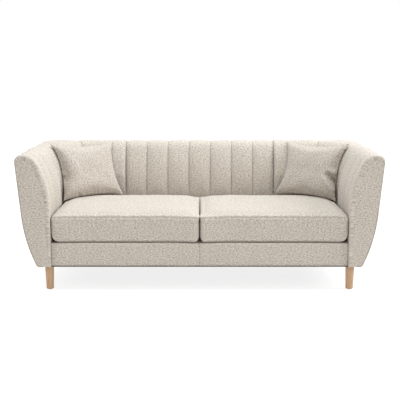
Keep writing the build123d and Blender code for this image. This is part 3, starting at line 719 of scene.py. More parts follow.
def outside_cover(name, columns, sign, front_edge=None):
    """Cloth pulled tight over the outside, from the outer seam down and under the foot."""
    rows = outside_section()
    height = run_lengths(rows)
    points = [wall_column(kind, value, rows, np.zeros(len(rows)), sign, True) for kind, value in columns]
    points = np.array(points)
    along = np.concatenate([[0], np.cumsum(np.linalg.norm(np.diff(points[:, 0], axis=0), axis=1))])
    from_start, from_end = along, along[-1] - along
    front, back = [], []
    for index, (kind, value) in enumerate(columns):
        edge = min(from_start[index], from_end[index])
        rise = COVER_SWELL * (1 - bell(height, 0.03)) - 0.002 * bell(height, 0.006)
        rise = rise * (1 - bell(edge, 0.02)) - 0.0015 * bell(edge, 0.005)
        if front_edge is not None and kind == "arm":
            rise = rise - round_off(value - FRONT_Y, front_edge)
        front.append(wall_column(kind, value, rows, rise, sign, True))
        back.append(wall_column(kind, value, rows, rise - COVER_THICKNESS, sign, True))
    front, back = np.array(front), np.array(back)
    wave = ripple(front, 0.30, 21) * 0.0011 + ripple(front, 0.09, 22) * 0.0003
    wave *= np.clip(np.minimum(from_start, from_end) / 0.05, 0, 1)[:, None]
    for index, (kind, value) in enumerate(columns):
        normals = wall_normals(kind, value, rows, sign, True)
        front[index] += normals * wave[index][:, None]
        back[index] += normals * wave[index][:, None]
    cloth = np.stack(np.meshgrid(along, height, indexing="ij"), 2)
    seam = np.minimum(np.minimum(from_start, from_end)[:, None], height[None, :])
    piece = closed_sheet(name, front, back, cloth, seam)
    return piece, (float(along[-1]), float(height[-1]))


def outer_corner_angle(x, y):
    """The angle about the corner's inner centre of a point on the outside face."""
    return math.atan2(y - CORNER_Y, x - CORNER_X)


back_half = [("back", x) for x in np.linspace(0, CORNER_X, 36)]
corner_angles = np.linspace(math.pi / 2, 0, 96)
BACK_SPLIT = outer_corner_angle(OUTER_CENTRE_X, INNER_Y + WALL)
rear_angles = [a for a in corner_angles if a > BACK_SPLIT]
side_angles = [a for a in corner_angles if a <= BACK_SPLIT]
for side, sign in SIDES.items():
    columns = [("corner", BACK_SPLIT)] + [("corner", a) for a in side_angles]
    columns += [("arm", y) for y in np.linspace(CORNER_Y, FRONT_Y + 0.02, 26)[1:]]
    columns += [("arm", y) for y in np.linspace(FRONT_Y + 0.016, FRONT_Y + 0.003, 7)]
    piece, flat_size = outside_cover(f"outside_arm_{side}", columns, sign, 0.012)
    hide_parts(f"outside_arm_cover_{side}")
    dress(piece, UPHOLSTERY)
# The outside back is made as two mirrored halves that meet at one middle seam.
for side, sign in SIDES.items():
    columns = back_half + [("corner", a) for a in rear_angles] + [("corner", BACK_SPLIT)]
    piece, flat_size = outside_cover(f"outside_back_{side}", columns, sign)
    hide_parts("outside_back_cover")
    dress(piece, UPHOLSTERY)


# ---------------------------------------------------------------- arm front panels


def section_outline():
    """The wall's whole cross-section as a closed loop of (u, z) points."""
    inside = inside_section(BASE_Z)[:, :2]
    outside = outside_section()[:, :2]
    return np.vstack([inside, outside[1:]])


def loop_distance(points, loop):
    """Each point's distance from a closed loop."""
    starts, ends = loop, np.roll(loop, -1, axis=0)
    best = np.full(len(points), 9.0)
    for start, end in zip(starts, ends):
        run = end - start
        length = run @ run
        if length < 1e-12:
            continue
        share = np.clip((points - start) @ run / length, 0, 1)
        best = np.minimum(best, np.linalg.norm(points - (start + share[:, None] * run), axis=1))
    return best


PANEL_INSET = 0.0025
PANEL_ROUND = 0.007
PANEL_DEPTH = 0.016
PANEL_SWELL = 0.0020
PANEL_FOOT, PANEL_HEAD = 0.03, 0.93  # shares of its height with closer rows


def arm_panel(name, sign):
    """The flat padded facing that closes the arm's front, with softly rounded edges."""
    loop = section_outline()
    inside = inside_section(BASE_Z)
    outside = outside_section()
    low, high = BASE_Z + PANEL_INSET, TOP_Z - PANEL_INSET - 0.0005
    foot = PANEL_FOOT * 2 * spread(16)[:9]
    middle = np.linspace(PANEL_FOOT, PANEL_HEAD, 70)[1:-1]
    head = PANEL_HEAD + (1 - PANEL_HEAD) * (2 * spread(30)[15:] - 1)
    levels = low + (high - low) * np.concatenate([foot, middle, head])
    left_rows = inside[inside[:, 0] <= FLAT_START + 1e-6]
    outer_rows = inside[inside[:, 0] >= FLAT_END - 1e-6]
    right_rows = np.vstack([outer_rows[:, :2], outside[1:, :2]])
    heel = np.argmin(right_rows[:, 1])
    right_rows = right_rows[: heel + 1][::-1]
    across = spread(34)
    points = []
    for level in levels:
        left = np.interp(level, left_rows[:, 1], left_rows[:, 0]) + PANEL_INSET
        right = np.interp(level, right_rows[:, 1], right_rows[:, 0]) - PANEL_INSET
        if right < left:
            left = right = (left + right) / 2
        points.append(np.stack([left + (right - left) * across, np.full(len(across), level)], 1))
    points = np.array(points)
    distance = loop_distance(points.reshape(-1, 2), loop).reshape(points.shape[:2]) - PANEL_INSET
    near = np.clip(1 - distance / PANEL_ROUND, 0, 1)
    recess = round_off(distance, PANEL_ROUND)
    swell = PANEL_SWELL * (1 - bell(np.clip(distance, 0, 1), 0.035))
    y = FRONT_Y + 0.003 + recess - swell
    place = np.stack([(INNER_X + points[..., 0]) * sign, y, points[..., 1]], 2)
    place[..., 1] += ripple(place, 0.2, 31) * 0.0006 * (1 - near)
    back = place.copy()
    back[..., 1] = FRONT_Y + PANEL_DEPTH
    # Painted seam shade falls faintly round the panel's edge.
    return closed_sheet(name, place, back, points, np.clip(distance, 0, 1) + 0.0025)


for side, sign in SIDES.items():
    piece = arm_panel(f"arm_panel_{side}", sign)
    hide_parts(f"arm_front_cover_{side}")
    dress(piece, UPHOLSTERY)


# ---------------------------------------------------------------- front rail, deck, underside

RAIL_LOW, RAIL_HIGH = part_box("front_rail_cover")
RAIL_ROUND = 0.010
RAIL_TOP_DROP = 0.004
RAIL_TUCK = 0.045
RAIL_SWELL = 0.0030
RAIL_THICKNESS = 0.0035


def front_rail():
    """The padded front rail: from the deck, over the front edge, down and under."""
    top_z, low_z, front_y = RAIL_HIGH.z - RAIL_TOP_DROP, RAIL_LOW.z, RAIL_LOW.y
    round_y = front_y + RAIL_ROUND
    rows = join_runs(
        line_points((RAIL_HIGH.y, top_z), (round_y, top_z), (0, 1), 16),
        arc_points(round_y, top_z - RAIL_ROUND, RAIL_ROUND, math.pi / 2, math.pi, 0.002),
        line_points((front_y, top_z - RAIL_ROUND), (front_y, low_z + RAIL_ROUND), (-1, 0), 26),
        arc_points(round_y, low_z + RAIL_ROUND, RAIL_ROUND, math.pi, 1.5 * math.pi, 0.002),
        line_points((round_y, low_z), (front_y + RAIL_TUCK, low_z), (0, -1), 6),
    )
    height = run_lengths(rows)
    half = RAIL_HIGH.x * spread(70)
    xs = np.concatenate([half - RAIL_HIGH.x, half[1:]])
    front, back, seams = [], [], []
    for x in xs:
        seam = min(abs(x), RAIL_HIGH.x - abs(x))
        swell = RAIL_SWELL * (1 - bell(seam, 0.03)) - 0.0022 * bell(x, SEAM_SPREAD)
        bow = np.sin(np.clip((rows[:, 1] - RAIL_LOW.z) / (RAIL_HIGH.z - RAIL_LOW.z), 0, 1) * math.pi)
        rise = swell * (0.3 + 0.7 * bow)
        for grid, lift in ((front, rise), (back, -RAIL_THICKNESS)):
            line = rows[:, :2] + rows[:, 2:] * np.reshape(lift, (-1, 1))
            grid.append(np.column_stack([np.full(len(rows), x), line]))
        seams.append(np.full(len(rows), seam))
    front, back = np.array(front), np.array(back)
    front[..., 1] += ripple(front, 0.25, 41) * 0.0010 + ripple(front, 0.06, 42) * 0.0003
    cloth = np.stack(np.meshgrid(xs, height, indexing="ij"), 2)
    piece = closed_sheet("front_rail_panel", front, back, cloth, np.array(seams))
    return piece, (2 * RAIL_HIGH.x, height[-1])


piece, flat_size = front_rail()
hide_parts("front_rail_cover", "rail_pad")
dress(piece, UPHOLSTERY)


def inner_edge_x(y, inset):
    """Half the seat space's width at a given depth."""
    if y <= CORNER_Y:
        return INNER_X - inset
    radius = INNER_RADIUS - inset
    return CORNER_X + math.sqrt(max(0.0, radius**2 - (y - CORNER_Y) ** 2))


DECK_SETBACK = 0.095  # the rail's cover lies over this much of the deck's front


def deck():
    """The padded platform under the seat cushions, covered in lining cloth."""
    low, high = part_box("deck_pad")
    ys = np.linspace(low.y + DECK_SETBACK, high.y, 60)
    across = np.linspace(-1, 1, 121)
    place = []
    for y in ys:
        half = min(high.x, inner_edge_x(y, 0.006))
        place.append(np.stack([across * half, np.full(len(across), y), np.full(len(across), high.z)], 1))
    place = np.array(place)
    edge = np.minimum(1 - np.abs(across)[None, :], ((ys - ys[0]) / (ys[-1] - ys[0]) * 2)[:, None])
    place[..., 2] += 0.0018 * (1 - bell(edge, 0.05))
    place[..., 2] += ripple(place, 0.12, 51) * 0.0005
    back = place.copy()
    back[..., 2] = low.z
    cloth = place[..., :2]
    seam = np.minimum(edge * 0.8, np.abs(place[..., 0]))
    return closed_sheet("seat_deck", place, back, cloth, seam)


piece = deck()
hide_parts("deck_pad")
dress(piece, DECK)


def flat_cloth(name, outline, holes, z, thickness):
    """A flat cloth with round holes, from a closed outline."""
    curve = bpy.data.curves.new(name, "CURVE")
    curve.dimensions = "2D"
    curve.fill_mode = "BOTH"
    curve.extrude = thickness / 2
    loops = [outline]
    for centre_x, centre_y, radius in holes:
        turn = np.linspace(0, 2 * math.pi, 33)[:-1]
        loops.append(np.stack([centre_x + radius * np.cos(turn), centre_y + radius * np.sin(turn)], 1))
    for loop in loops:
        spline = curve.splines.new("POLY")
        spline.points.add(len(loop) - 1)
        for point, (x, y) in zip(spline.points, loop):
            point.co = (x, y, 0, 1)
        spline.use_cyclic_u = True
    holder = new_object(name + "_curve", curve)
    bpy.context.view_layer.update()
    mesh = bpy.data.meshes.new_from_object(holder)
    bpy.data.objects.remove(holder)
    mesh.name = name
    with edited(mesh) as work:
        bmesh.ops.remove_doubles(work, verts=work.verts, dist=1e-5)
        bmesh.ops.translate(work, verts=work.verts, vec=(0, 0, z))
        bmesh.ops.recalc_face_normals(work, faces=work.faces)
    points = np.array([v.co for v in mesh.vertices])
    set_attribute(mesh, "cloth", points)
    set_attribute(mesh, "seam", np.full(len(points), 0.05))
    return new_object(name, mesh)


def underside_outline(u):
    """The plan outline of the outside face at u, all the way round."""
    right = [outer_plan("corner", a, u)[:2] for a in np.linspace(0, math.pi / 2, 40)]
    right = [(INNER_X + u, FRONT_Y + 0.014)] + right
    left = [(-x, y) for x, y in right[::-1]]
    return np.array(right + left)


legs = [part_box(f"leg_{end}_{side}") for end in ("front", "rear") for side in SIDES]
holes = [((low.x + high.x) / 2, (low.y + high.y) / 2, (high.x - low.x) / 2 + 0.0008) for low, high in legs]
outline = underside_outline(FOOT_U - 0.03)
piece = flat_cloth("dust_cloth", outline, holes, BASE_Z + 0.0013, 0.0008)
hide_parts("dust_cover")
dress(piece, LINING)


# ---------------------------------------------------------------- cushions


def smooth_over(mesh, values, rounds):
    """Averages values with those of neighbouring points, round after round."""
    ends = np.zeros(len(mesh.edges) * 2, int)
    mesh.edges.foreach_get("vertices", ends)
    start, end = np.concatenate([ends[::2], ends[1::2]]), np.concatenate([ends[1::2], ends[::2]])
    count = len(values)
    beside = np.maximum(np.bincount(start, minlength=count), 1)
    for _ in range(rounds):
        total = [np.bincount(start, values[end, axis], count) / beside for axis in range(3)]
        values = (values + np.stack(total, 1)) / 2
    return values


def simulate(piece, pressure, cap, frames=20, stiffness=15.0, smoothing=8):
    """Inflates a closed mesh as cloth, with each point's travel capped, and keeps the result."""
    scene = bpy.context.scene
    scene.frame_set(1)
    cloth = piece.modifiers.new("cloth", "CLOTH")
    settings = cloth.settings
    settings.quality = 6
    settings.mass = 0.3
    settings.use_pressure = True
    settings.uniform_pressure_force = pressure
    settings.effector_weights.gravity = 0
    settings.tension_stiffness = stiffness
    settings.compression_stiffness = stiffness
    settings.bending_stiffness = 0.4
    settings.air_damping = 2
    cloth.collision_settings.use_collision = False
    cloth.collision_settings.use_self_collision = False
    cloth.point_cache.frame_start = 1
    cloth.point_cache.frame_end = frames
    for number in range(1, frames + 1):
        scene.frame_set(number)
    depsgraph = bpy.context.evaluated_depsgraph_get()
    result = piece.evaluated_get(depsgraph).data
    rest = coordinates(piece.data)
    travel = coordinates(result) - rest
    length = np.linalg.norm(travel, axis=1, keepdims=True)
    travel *= cap * np.tanh(length / cap) / np.maximum(length, 1e-9)
    travel = smooth_over(piece.data, travel, smoothing)
    piece.modifiers.remove(cloth)
    set_coordinates(piece.data, rest + travel)
    scene.frame_set(1)


def apply_modifier(piece, kind, **settings):
    """Replaces the piece's mesh by what one modifier makes of it."""
    modifier = piece.modifiers.new(kind, kind)
    for key, value in settings.items():
        setattr(modifier, key, value)
    depsgraph = bpy.context.evaluated_depsgraph_get()
    mesh = bpy.data.meshes.new_from_object(piece.evaluated_get(depsgraph), depsgraph=depsgraph)
    piece.modifiers.clear()
    piece.data = mesh
    return mesh


def read_values(source, field, width=1):
    """One field of every point as an array, with a row for each point if it's a vector."""
    values = np.zeros(len(source) * width)
    source.foreach_get(field, values)
    return values if width == 1 else values.reshape(-1, width)


def coordinates(mesh):
    return read_values(mesh.vertices, "co", 3)


def set_coordinates(mesh, points):
    mesh.vertices.foreach_set("co", np.asarray(points, float).ravel())
    mesh.update()


def normals_of(mesh):
    return read_values(mesh.vertex_normals, "vector", 3)


def read_attribute(mesh, name):
    return read_values(mesh.attributes[name].data, "value")


SEAT_LOW, SEAT_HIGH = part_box("seat_cushion_cover_right")
SEAT_RADIUS = INNER_RADIUS - 0.004
SEAT_CORNER = 0.016
SEAT_SIDE_INSET = -0.011
OUTER_END_RISE = 0.011
INNER_END_RISE = 0.006
CROWN = 0.016
CROWN_REACH = (0.43, 0.34)
# Each end: where it is, the way inward, and the rounding of its lower and upper edges.
SEAT_ROUNDING = ((SEAT_LOW.x, 1, 0.030, 0.006), (SEAT_HIGH.x, -1, 0.058, 0.024))
SEAT_VOXEL = 0.0085
SEAT_PRESSURE = 4.0
SEAT_TRAVEL = 0.024
SEAT_SEAM_DIP, SEAT_SEAM_RIDGE = 0.0042, 0.0014
SEAT_PUCKER = 0.045
INNER_MEET = 0.012  # how far the inner end's top is pushed towards the other cushion
INNER_SLOT = 0.0085  # how far the inner end draws back at the front, below the top edge


def seat_sides(inset):
    """The right seat cushion's plan limits along X and along Y."""
    across = (SEAT_LOW.x + SEAT_SIDE_INSET, SEAT_HIGH.x - SEAT_SIDE_INSET)
    return across, (SEAT_LOW.y + inset, SEAT_HIGH.y - inset)


def seat_corners(inset):
    """Its rounded corners in turn: the way each faces, arc centre, radius and point count."""
    xs, ys = seat_sides(inset)
    for face_x, face_y in ((1, 1), (-1, 1), (-1, -1), (1, -1)):
        rear_outer = face_x > 0 and face_y > 0
        radius = SEAT_RADIUS - inset if rear_outer else SEAT_CORNER
        centre_x, centre_y = xs[face_x > 0] - face_x * radius, ys[face_y > 0] - face_y * radius
        yield face_x, face_y, centre_x, centre_y, radius, 28 if rear_outer else 6


def plan_edge(x, y, inset):
    """Signed distance inside the right seat cushion's plan outline: positive inside."""
    (low_x, high_x), (low_y, high_y) = seat_sides(inset)
    best = np.minimum(np.minimum(x - low_x, high_x - x), np.minimum(y - low_y, high_y - y))
    for face_x, face_y, centre_x, centre_y, radius, _ in seat_corners(inset):
        beyond_x, beyond_y = (x - centre_x) * face_x, (y - centre_y) * face_y
        inside = (beyond_x > 0) & (beyond_y > 0)
        best = np.where(inside, radius - np.hypot(beyond_x, beyond_y), best)
    return best


def seat_outline(inset):
    """The right seat cushion's plan outline, as points."""
    points = []
    for turn, (_, _, centre_x, centre_y, radius, count) in enumerate(seat_corners(inset)):
        for angle in np.radians(np.linspace(90 * turn, 90 * turn + 90, count)):
            points.append((centre_x + radius * math.cos(angle), centre_y + radius * math.sin(angle)))
    return points


SEAT_START_INSET = 0.0035
SEAT_START_LOW = SEAT_LOW.z + 0.003
SEAT_START_HIGH = SEAT_HIGH.z - 0.018


def edge_distance(first, second):
    """Distance along the surface to the edge where two faces meet, given the depth below each."""
    first, second = np.clip(first, 0, 1), np.clip(second, 0, 1)
    on_face = np.minimum(first, second) < 0.02
    return np.where(on_face, np.abs(first - second), first + second)


def seat_cushion():
    """The right seat cushion: a boxed foam cushion with a crown and a seam round each edge."""
    outline = seat_outline(SEAT_START_INSET)
    count = len(outline)
    points = [(x, y, z) for z in (SEAT_START_LOW, SEAT_START_HIGH) for x, y in outline]
    faces = [list(range(count))[::-1], list(range(count, 2 * count))]
    faces += [[i, (i + 1) % count, count + (i + 1) % count, count + i] for i in range(count)]
    mesh = bpy.data.meshes.new("seat_cushion_right")
    mesh.from_pydata(points, [], faces)
    piece = new_object("seat_cushion_right", mesh)
    mesh = apply_modifier(piece, "REMESH", mode="VOXEL", voxel_size=SEAT_VOXEL)
    rest = coordinates(mesh)
    beside = plan_edge(rest[:, 0], rest[:, 1], SEAT_START_INSET)
    below = SEAT_START_HIGH - rest[:, 2]
    above = rest[:, 2] - SEAT_START_LOW
    top_seam, low_seam = edge_distance(below, beside), edge_distance(above, beside)
    set_attribute(mesh, "seam_top", top_seam)
    set_attribute(mesh, "seam_low", low_seam)
    on_side = (beside < below) & (beside < above)
    facing = normals_of(mesh)
    side_along = np.where(np.abs(facing[:, 0]) > np.abs(facing[:, 1]), rest[:, 1], rest[:, 0])
    weave_x = np.where(on_side, side_along, rest[:, 0])
    weave_y = np.where(on_side, rest[:, 2], rest[:, 1])
    set_attribute(mesh, "cloth", np.stack([weave_x, weave_y, np.zeros(len(rest))], 1))
    simulate(piece, SEAT_PRESSURE, SEAT_TRAVEL, smoothing=40)
    mesh = apply_modifier(piece, "SUBSURF", levels=1, render_levels=1)
    place = coordinates(mesh)
    low_y, high_y = SEAT_LOW.y, SEAT_HIGH.y
    middle_x, middle_y = (SEAT_LOW.x + SEAT_HIGH.x) / 2, (low_y + high_y) / 2
    across = np.clip(1 - ((place[:, 0] - middle_x) / CROWN_REACH[0]) ** 4, 0, 1)
    depth = np.clip(1 - ((place[:, 1] - middle_y) / CROWN_REACH[1]) ** 4, 0, 1)
    top_side = fade_in(place[:, 2], (SEAT_LOW.z + SEAT_HIGH.z) / 2, 0.06)
    place[:, 2] += CROWN * across * depth * top_side
    # Both ends stand a little higher than the crown's own edge, the outer one most.
    off_middle = (place[:, 0] - middle_x) / (SEAT_HIGH.x - middle_x)
    end_rise = np.where(off_middle > 0, OUTER_END_RISE, INNER_END_RISE)
    end_rise = end_rise * np.clip(np.abs(off_middle), 0, 1) ** 4
    place[:, 2] += end_rise * np.clip((place[:, 1] - low_y) / 0.08, 0.7, 1) * top_side
    seam_top, seam_low = read_attribute(mesh, "seam_top"), read_attribute(mesh, "seam_low")
    seam = np.minimum(seam_top, seam_low)
    set_coordinates(mesh, place)
    normals = normals_of(mesh)
    dent = SEAT_SEAM_RIDGE * bell(seam - 0.013, 0.007) - SEAT_SEAM_DIP * bell(seam, 0.006)
    wave = (place[:, 0] + place[:, 1]) * 2 * math.pi / SEAT_PUCKER + ripple(place, 0.2, 61) * 4
    tuck = bell(seam, 0.028) * np.sin(wave) * 0.0007
    soft = ripple(place, 0.16, 62) * 0.0013 + ripple(place, 0.05, 63) * 0.0004
    place = place + normals * (dent + tuck + soft)[:, None]
    # The edges of both ends are rounded off, most of all underneath.
    for edge_x, inward, low_round, top_round in SEAT_ROUNDING:
        for edge_z, upward, radius in ((SEAT_LOW.z, 1, low_round), (SEAT_HIGH.z + 0.002, -1, top_round)):
            side_x = radius - (place[:, 0] - edge_x) * inward
            side_z = radius - (place[:, 2] - edge_z) * upward
            reach = np.hypot(side_x, side_z)
            outside = (side_x > 0) & (side_z > 0) & (reach > radius)
            factor = np.where(outside, radius / np.maximum(reach, 1e-6), 1)
            place[:, 0] = np.where(outside, edge_x + inward * (radius - side_x * factor), place[:, 0])
            place[:, 2] = np.where(outside, edge_z + upward * (radius - side_z * factor), place[:, 2])
    # The two cushions meet along the top of their inner ends.
    at_inner_end = bell(place[:, 0] - SEAT_LOW.x, 0.02)
    near_top = fade_in(place[:, 2], SEAT_HIGH.z - 0.030, 0.015)
    place[:, 0] -= INNER_MEET * at_inner_end * near_top
    # The cushion rests flat on the deck and keeps inside the room left for it.
    place[:, 2] = np.maximum(place[:, 2], SEAT_LOW.z + 0.0003)
    place[:, 0] = np.clip(place[:, 0], SEAT_LOW.x - 0.0005, SEAT_HIGH.x + 0.0005)
    # Lower down, their front corners draw back from each other.
    at_front = bell(place[:, 1] - low_y, 0.035)
    place[:, 0] += INNER_SLOT * at_inner_end * at_front * (1 - near_top)
    place[:, 1] = np.minimum(place[:, 1], SEAT_HIGH.y)
    beyond_x, beyond_y = place[:, 0] - CORNER_X, place[:, 1] - CORNER_Y
    reach = np.hypot(beyond_x, beyond_y)
    outside = (beyond_x > 0) & (beyond_y > 0) & (reach > SEAT_RADIUS - 0.001)
    shrink = np.where(outside, (SEAT_RADIUS - 0.001) / np.maximum(reach, 1e-6), 1)
    place[:, 0] = CORNER_X + beyond_x * np.where(outside, shrink, 1)
    place[:, 1] = CORNER_Y + beyond_y * np.where(outside, shrink, 1)
    set_coordinates(mesh, place)
    # A shorter seam distance spreads the painted seam shade further from the cushion's seams.
    set_attribute(mesh, "seam", seam * 0.6)
    mesh.shade_smooth()
    return piece


def mirrored_copy(piece, name, seed, amount):
    """The same shape on the other side of the sofa, with its own unevenness."""
    mesh = piece.data.copy()
    copy = new_object(name, mesh)
    place = coordinates(mesh)
    place[:, 0] *= -1
    change = ripple(place, 0.14, seed) * amount
    normals = normals_of(mesh)
    normals[:, 0] *= -1
    top_side = fade_in(place[:, 2], SEAT_LOW.z, 0.06)
    place[:, 2] += (change * normals[:, 2]) * top_side
    set_coordinates(mesh, place)
    mesh.flip_normals()
    return copy


seat_right = seat_cushion()
seat_left = mirrored_copy(seat_right, "seat_cushion_left", 71, 0.0014)
for side, piece in (("right", seat_right), ("left", seat_left)):
    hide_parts(f"seat_cushion_cover_{side}", f"seat_cushion_core_{side}")
    dress(piece, UPHOLSTERY, f"seat_{side}")


# ---------------------------------------------------------------- scatter cushions

PILLOW_TURN = math.radians(33.7)
PILLOW_LEAN = math.radians(22.2)
PILLOW_WIDTH = 0.437
PILLOW_HEIGHT = 0.367
PILLOW_THICK = 0.112
PILLOW_SHIFT = (0.020, 0.021, 0.002)  # how far its middle lies from the stiff CAD shape's
SIDE_DRAW_IN = 0.10  # how far the middle of a side lies in from its corners, as a share
TOP_DRAW_IN = 0.065
PILLOW_START = 0.80  # share of its thickness before it is blown up
PILLOW_FLATNESS = 2.3
PILLOW_FULLNESS = 0.55
PILLOW_PUCKER = 0.026
PILLOW_PUCKER_HEIGHT = 0.0012
PILLOW_PRESSURE = 5.0
PILLOW_TRAVEL = 0.020
WALL_MARGIN = 0.008
PADDING_CLEARANCE = 0.006  # further room left for the corner channels' crowns
STEP_CLEARANCE = 0.009  # and for the corner's step forward beside the back


def pillow(name, seed):
    """A knife-edge cushion lying flat: width along X, height along Y, thickness along Z."""
    columns, rows = 61, 53
    across, up = np.linspace(-1, 1, columns), np.linspace(-1, 1, rows)
    x, y = np.meshgrid(across, up, indexing="ij")
    half_x = PILLOW_WIDTH / 2 * (1 - SIDE_DRAW_IN * (1 - np.abs(y) ** 2.0))
    half_y = PILLOW_HEIGHT / 2 * (1 - TOP_DRAW_IN * (1 - np.abs(x) ** 2.0))
    profile = (1 - np.abs(x) ** PILLOW_FLATNESS) * (1 - np.abs(y) ** PILLOW_FLATNESS)
    thick = PILLOW_THICK / 2 * PILLOW_START * profile**PILLOW_FULLNESS
    top = np.stack([x * half_x, y * half_y, thick], 2)
    bottom = np.stack([x * half_x, y * half_y, -thick], 2)
    rim = np.minimum(1 - np.abs(x), 1 - np.abs(y)) * PILLOW_HEIGHT / 2
    cloth = np.stack([x * PILLOW_WIDTH / 2, y * PILLOW_HEIGHT / 2], 2)
    piece = closed_sheet(name, top, bottom, cloth, rim)
    mesh = piece.data
    with edited(mesh) as work:
        bmesh.ops.remove_doubles(work, verts=work.verts, dist=1e-5)
        bmesh.ops.dissolve_degenerate(work, edges=work.edges, dist=1e-6)
        bmesh.ops.recalc_face_normals(work, faces=work.faces)
    place = coordinates(mesh)
    side = np.sign(place[:, 2]) * (np.abs(place[:, 2]) > 0.004)
    place[:, 2] += ripple(place * np.array([1, 1, 0]), 0.12, seed) * 0.0015 * side
    set_coordinates(mesh, place)
    tidy_normals(mesh, check_volume=True)
    simulate(piece, PILLOW_PRESSURE, PILLOW_TRAVEL, stiffness=25.0)
    mesh = apply_modifier(piece, "SUBSURF", levels=1, render_levels=1)
    place = coordinates(mesh)
    seam = read_attribute(mesh, "seam")
    size = place.max(0) - place.min(0)
    place *= np.array([PILLOW_WIDTH, PILLOW_HEIGHT, PILLOW_THICK]) / size
    set_coordinates(mesh, place)
    normals = normals_of(mesh)
    edge = bell(seam, 0.030)
    by_side = np.abs(place[:, 0]) / PILLOW_WIDTH > np.abs(place[:, 1]) / PILLOW_HEIGHT
    run = np.where(by_side, place[:, 1], place[:, 0])
    wave = run * 2 * math.pi / PILLOW_PUCKER + ripple(place, 0.1, seed + 1) * 4
    tuck = edge * np.sin(wave) * PILLOW_PUCKER_HEIGHT
    soft = ripple(place, 0.13, seed + 2) * 0.0016 + ripple(place, 0.045, seed + 3) * 0.0006
    place += normals * (tuck + soft * (1 - edge))[:, None]
    set_coordinates(mesh, place)
    # The sewn rim turns outward, so it catches the light and isn't a sunken seam; its seam distance is
    # raised, so the painted seam shade stays off it.
    set_attribute(mesh, "seam", seam + 0.006)
    mesh.shade_smooth()
    return piece


# Folds, in the cushion's own width and height from -1 to 1: start, end, depth and half-width.
PILLOW_FOLDS = {
    "left": (
        ((-0.97, -0.10), (-0.76, -0.20), 0.040, 0.011),
        ((-0.88, -0.20), (-0.84, 0.70), 0.018, 0.036),
        ((-0.80, -0.12), (0.90, -0.02), 0.0022, 0.030),
        ((-0.42, -0.97), (-0.50, -0.76), 0.018, 0.009),
    ),
    "right": (
        ((-0.95, -0.42), (-0.56, -0.06), 0.072, 0.019),
        ((-0.95, -0.28), (-0.86, -0.46), 0.034, 0.021),
        ((-0.88, -0.10), (-0.84, 0.60), 0.010, 0.034),
        ((-0.58, -0.12), (0.90, 0.0), 0.0022, 0.030),
        ((-0.21, -0.97), (-0.30, -0.78), 0.012, 0.009),
    ),
}


def fold_pillow(piece, folds):
    """Presses soft valleys into the cushion's front."""
    place = coordinates(piece.data)
    scale = np.array([PILLOW_WIDTH / 2, PILLOW_HEIGHT / 2])
    for start, end, depth, width in folds:
        start, end = np.array(start) * scale, np.array(end) * scale
        run = end - start
        share = np.clip((place[:, :2] - start) @ run / (run @ run), 0, 1)
        away = np.linalg.norm(place[:, :2] - start - share[:, None] * run, axis=1)
        front_side = np.clip(place[:, 2] / 0.006 + 1, 0, 1)
        # Each fold is deepest and widest where it starts, and fades out.
        strength = depth * (1 - share**2) * front_side
        reach = width * (1.3 - 0.5 * share)
        place[:, 2] -= strength * bell(away, reach)
        place[:, 2] += 0.30 * strength * bell(away - 1.9 * reach, reach)
    set_coordinates(piece.data, place)


# Corners that stand out further: which one, and its pull in metres along X and Y.
PILLOW_PULLS = {
    "left": (((-1, 1), (-0.006, 0.014)),),
    "right": (((-1, 1), (-0.006, 0.018)), ((1, -1), (0.022, 0.0))),
}


def pull_corners(piece, pulls):
    """Draws out some of the cushion's corners."""
    place = coordinates(piece.data)
    for (corner_x, corner_y), pull in pulls:
        near_x = np.clip(place[:, 0] * corner_x / (PILLOW_WIDTH / 2), 0, 1)
        near_y = np.clip(place[:, 1] * corner_y / (PILLOW_HEIGHT / 2), 0, 1)
        place[:, :2] += (near_x * near_y)[:, None] ** 2 * np.array(pull)
    set_coordinates(piece.data, place)


def press_into_corner(place, softness=0.0001, clearance=0.0, step=0.0):
    """Keeps points clear of the wall's inside face, which leans back as it rises."""
    rows = inside_section(BASE_Z)
    rows = rows[rows[:, 0] <= FLAT_START]
    room = np.interp(place[:, 2], rows[:, 1], rows[:, 0]) - WALL_MARGIN - clearance

    def soft_limit(value, limit):
        over = np.clip((value - limit) / softness, -40, 40)
        return np.where(over > 39, limit, value - softness * np.log1p(np.exp(over)))

    place = place.copy()
    x, y = place[:, 0].copy(), place[:, 1].copy()
    beyond_x, beyond_y = x - CORNER_X, y - CORNER_Y
    reach = np.hypot(beyond_x, beyond_y)
    limit = INNER_RADIUS + room
    in_corner = (beyond_x > 0) & (beyond_y > 0)
    factor = soft_limit(reach, limit) / np.maximum(reach, 1e-6)
    place[:, 0] = np.where(in_corner, CORNER_X + beyond_x * factor, soft_limit(x, INNER_X + room))
    stepped = step * np.clip((CORNER_X - x) / 0.02 + 1, 0, 1)
    place[:, 1] = np.where(in_corner, CORNER_Y + beyond_y * factor, soft_limit(y, INNER_Y + room - stepped))
    place[:, 1] = np.minimum(place[:, 1], INNER_Y + room - stepped)
    return place


def rest_on_seat(place, seat, sign):
    """Lifts the lowest points to the seat cushion's own surface."""
    tree = BVHTree.FromPolygons(
        [v.co for v in seat.data.vertices], [p.vertices[:] for p in seat.data.polygons]
    )
    for index in np.nonzero(place[:, 2] < SEAT_HIGH.z + 0.03)[0]:
        x, y, z = place[index]
        hit = tree.ray_cast(Vector((x * sign, y, TOP_Z)), Vector((0, 0, -1)))[0]
        if hit is not None:
            place[index, 2] = max(z, hit.z + 0.0015)
    return place


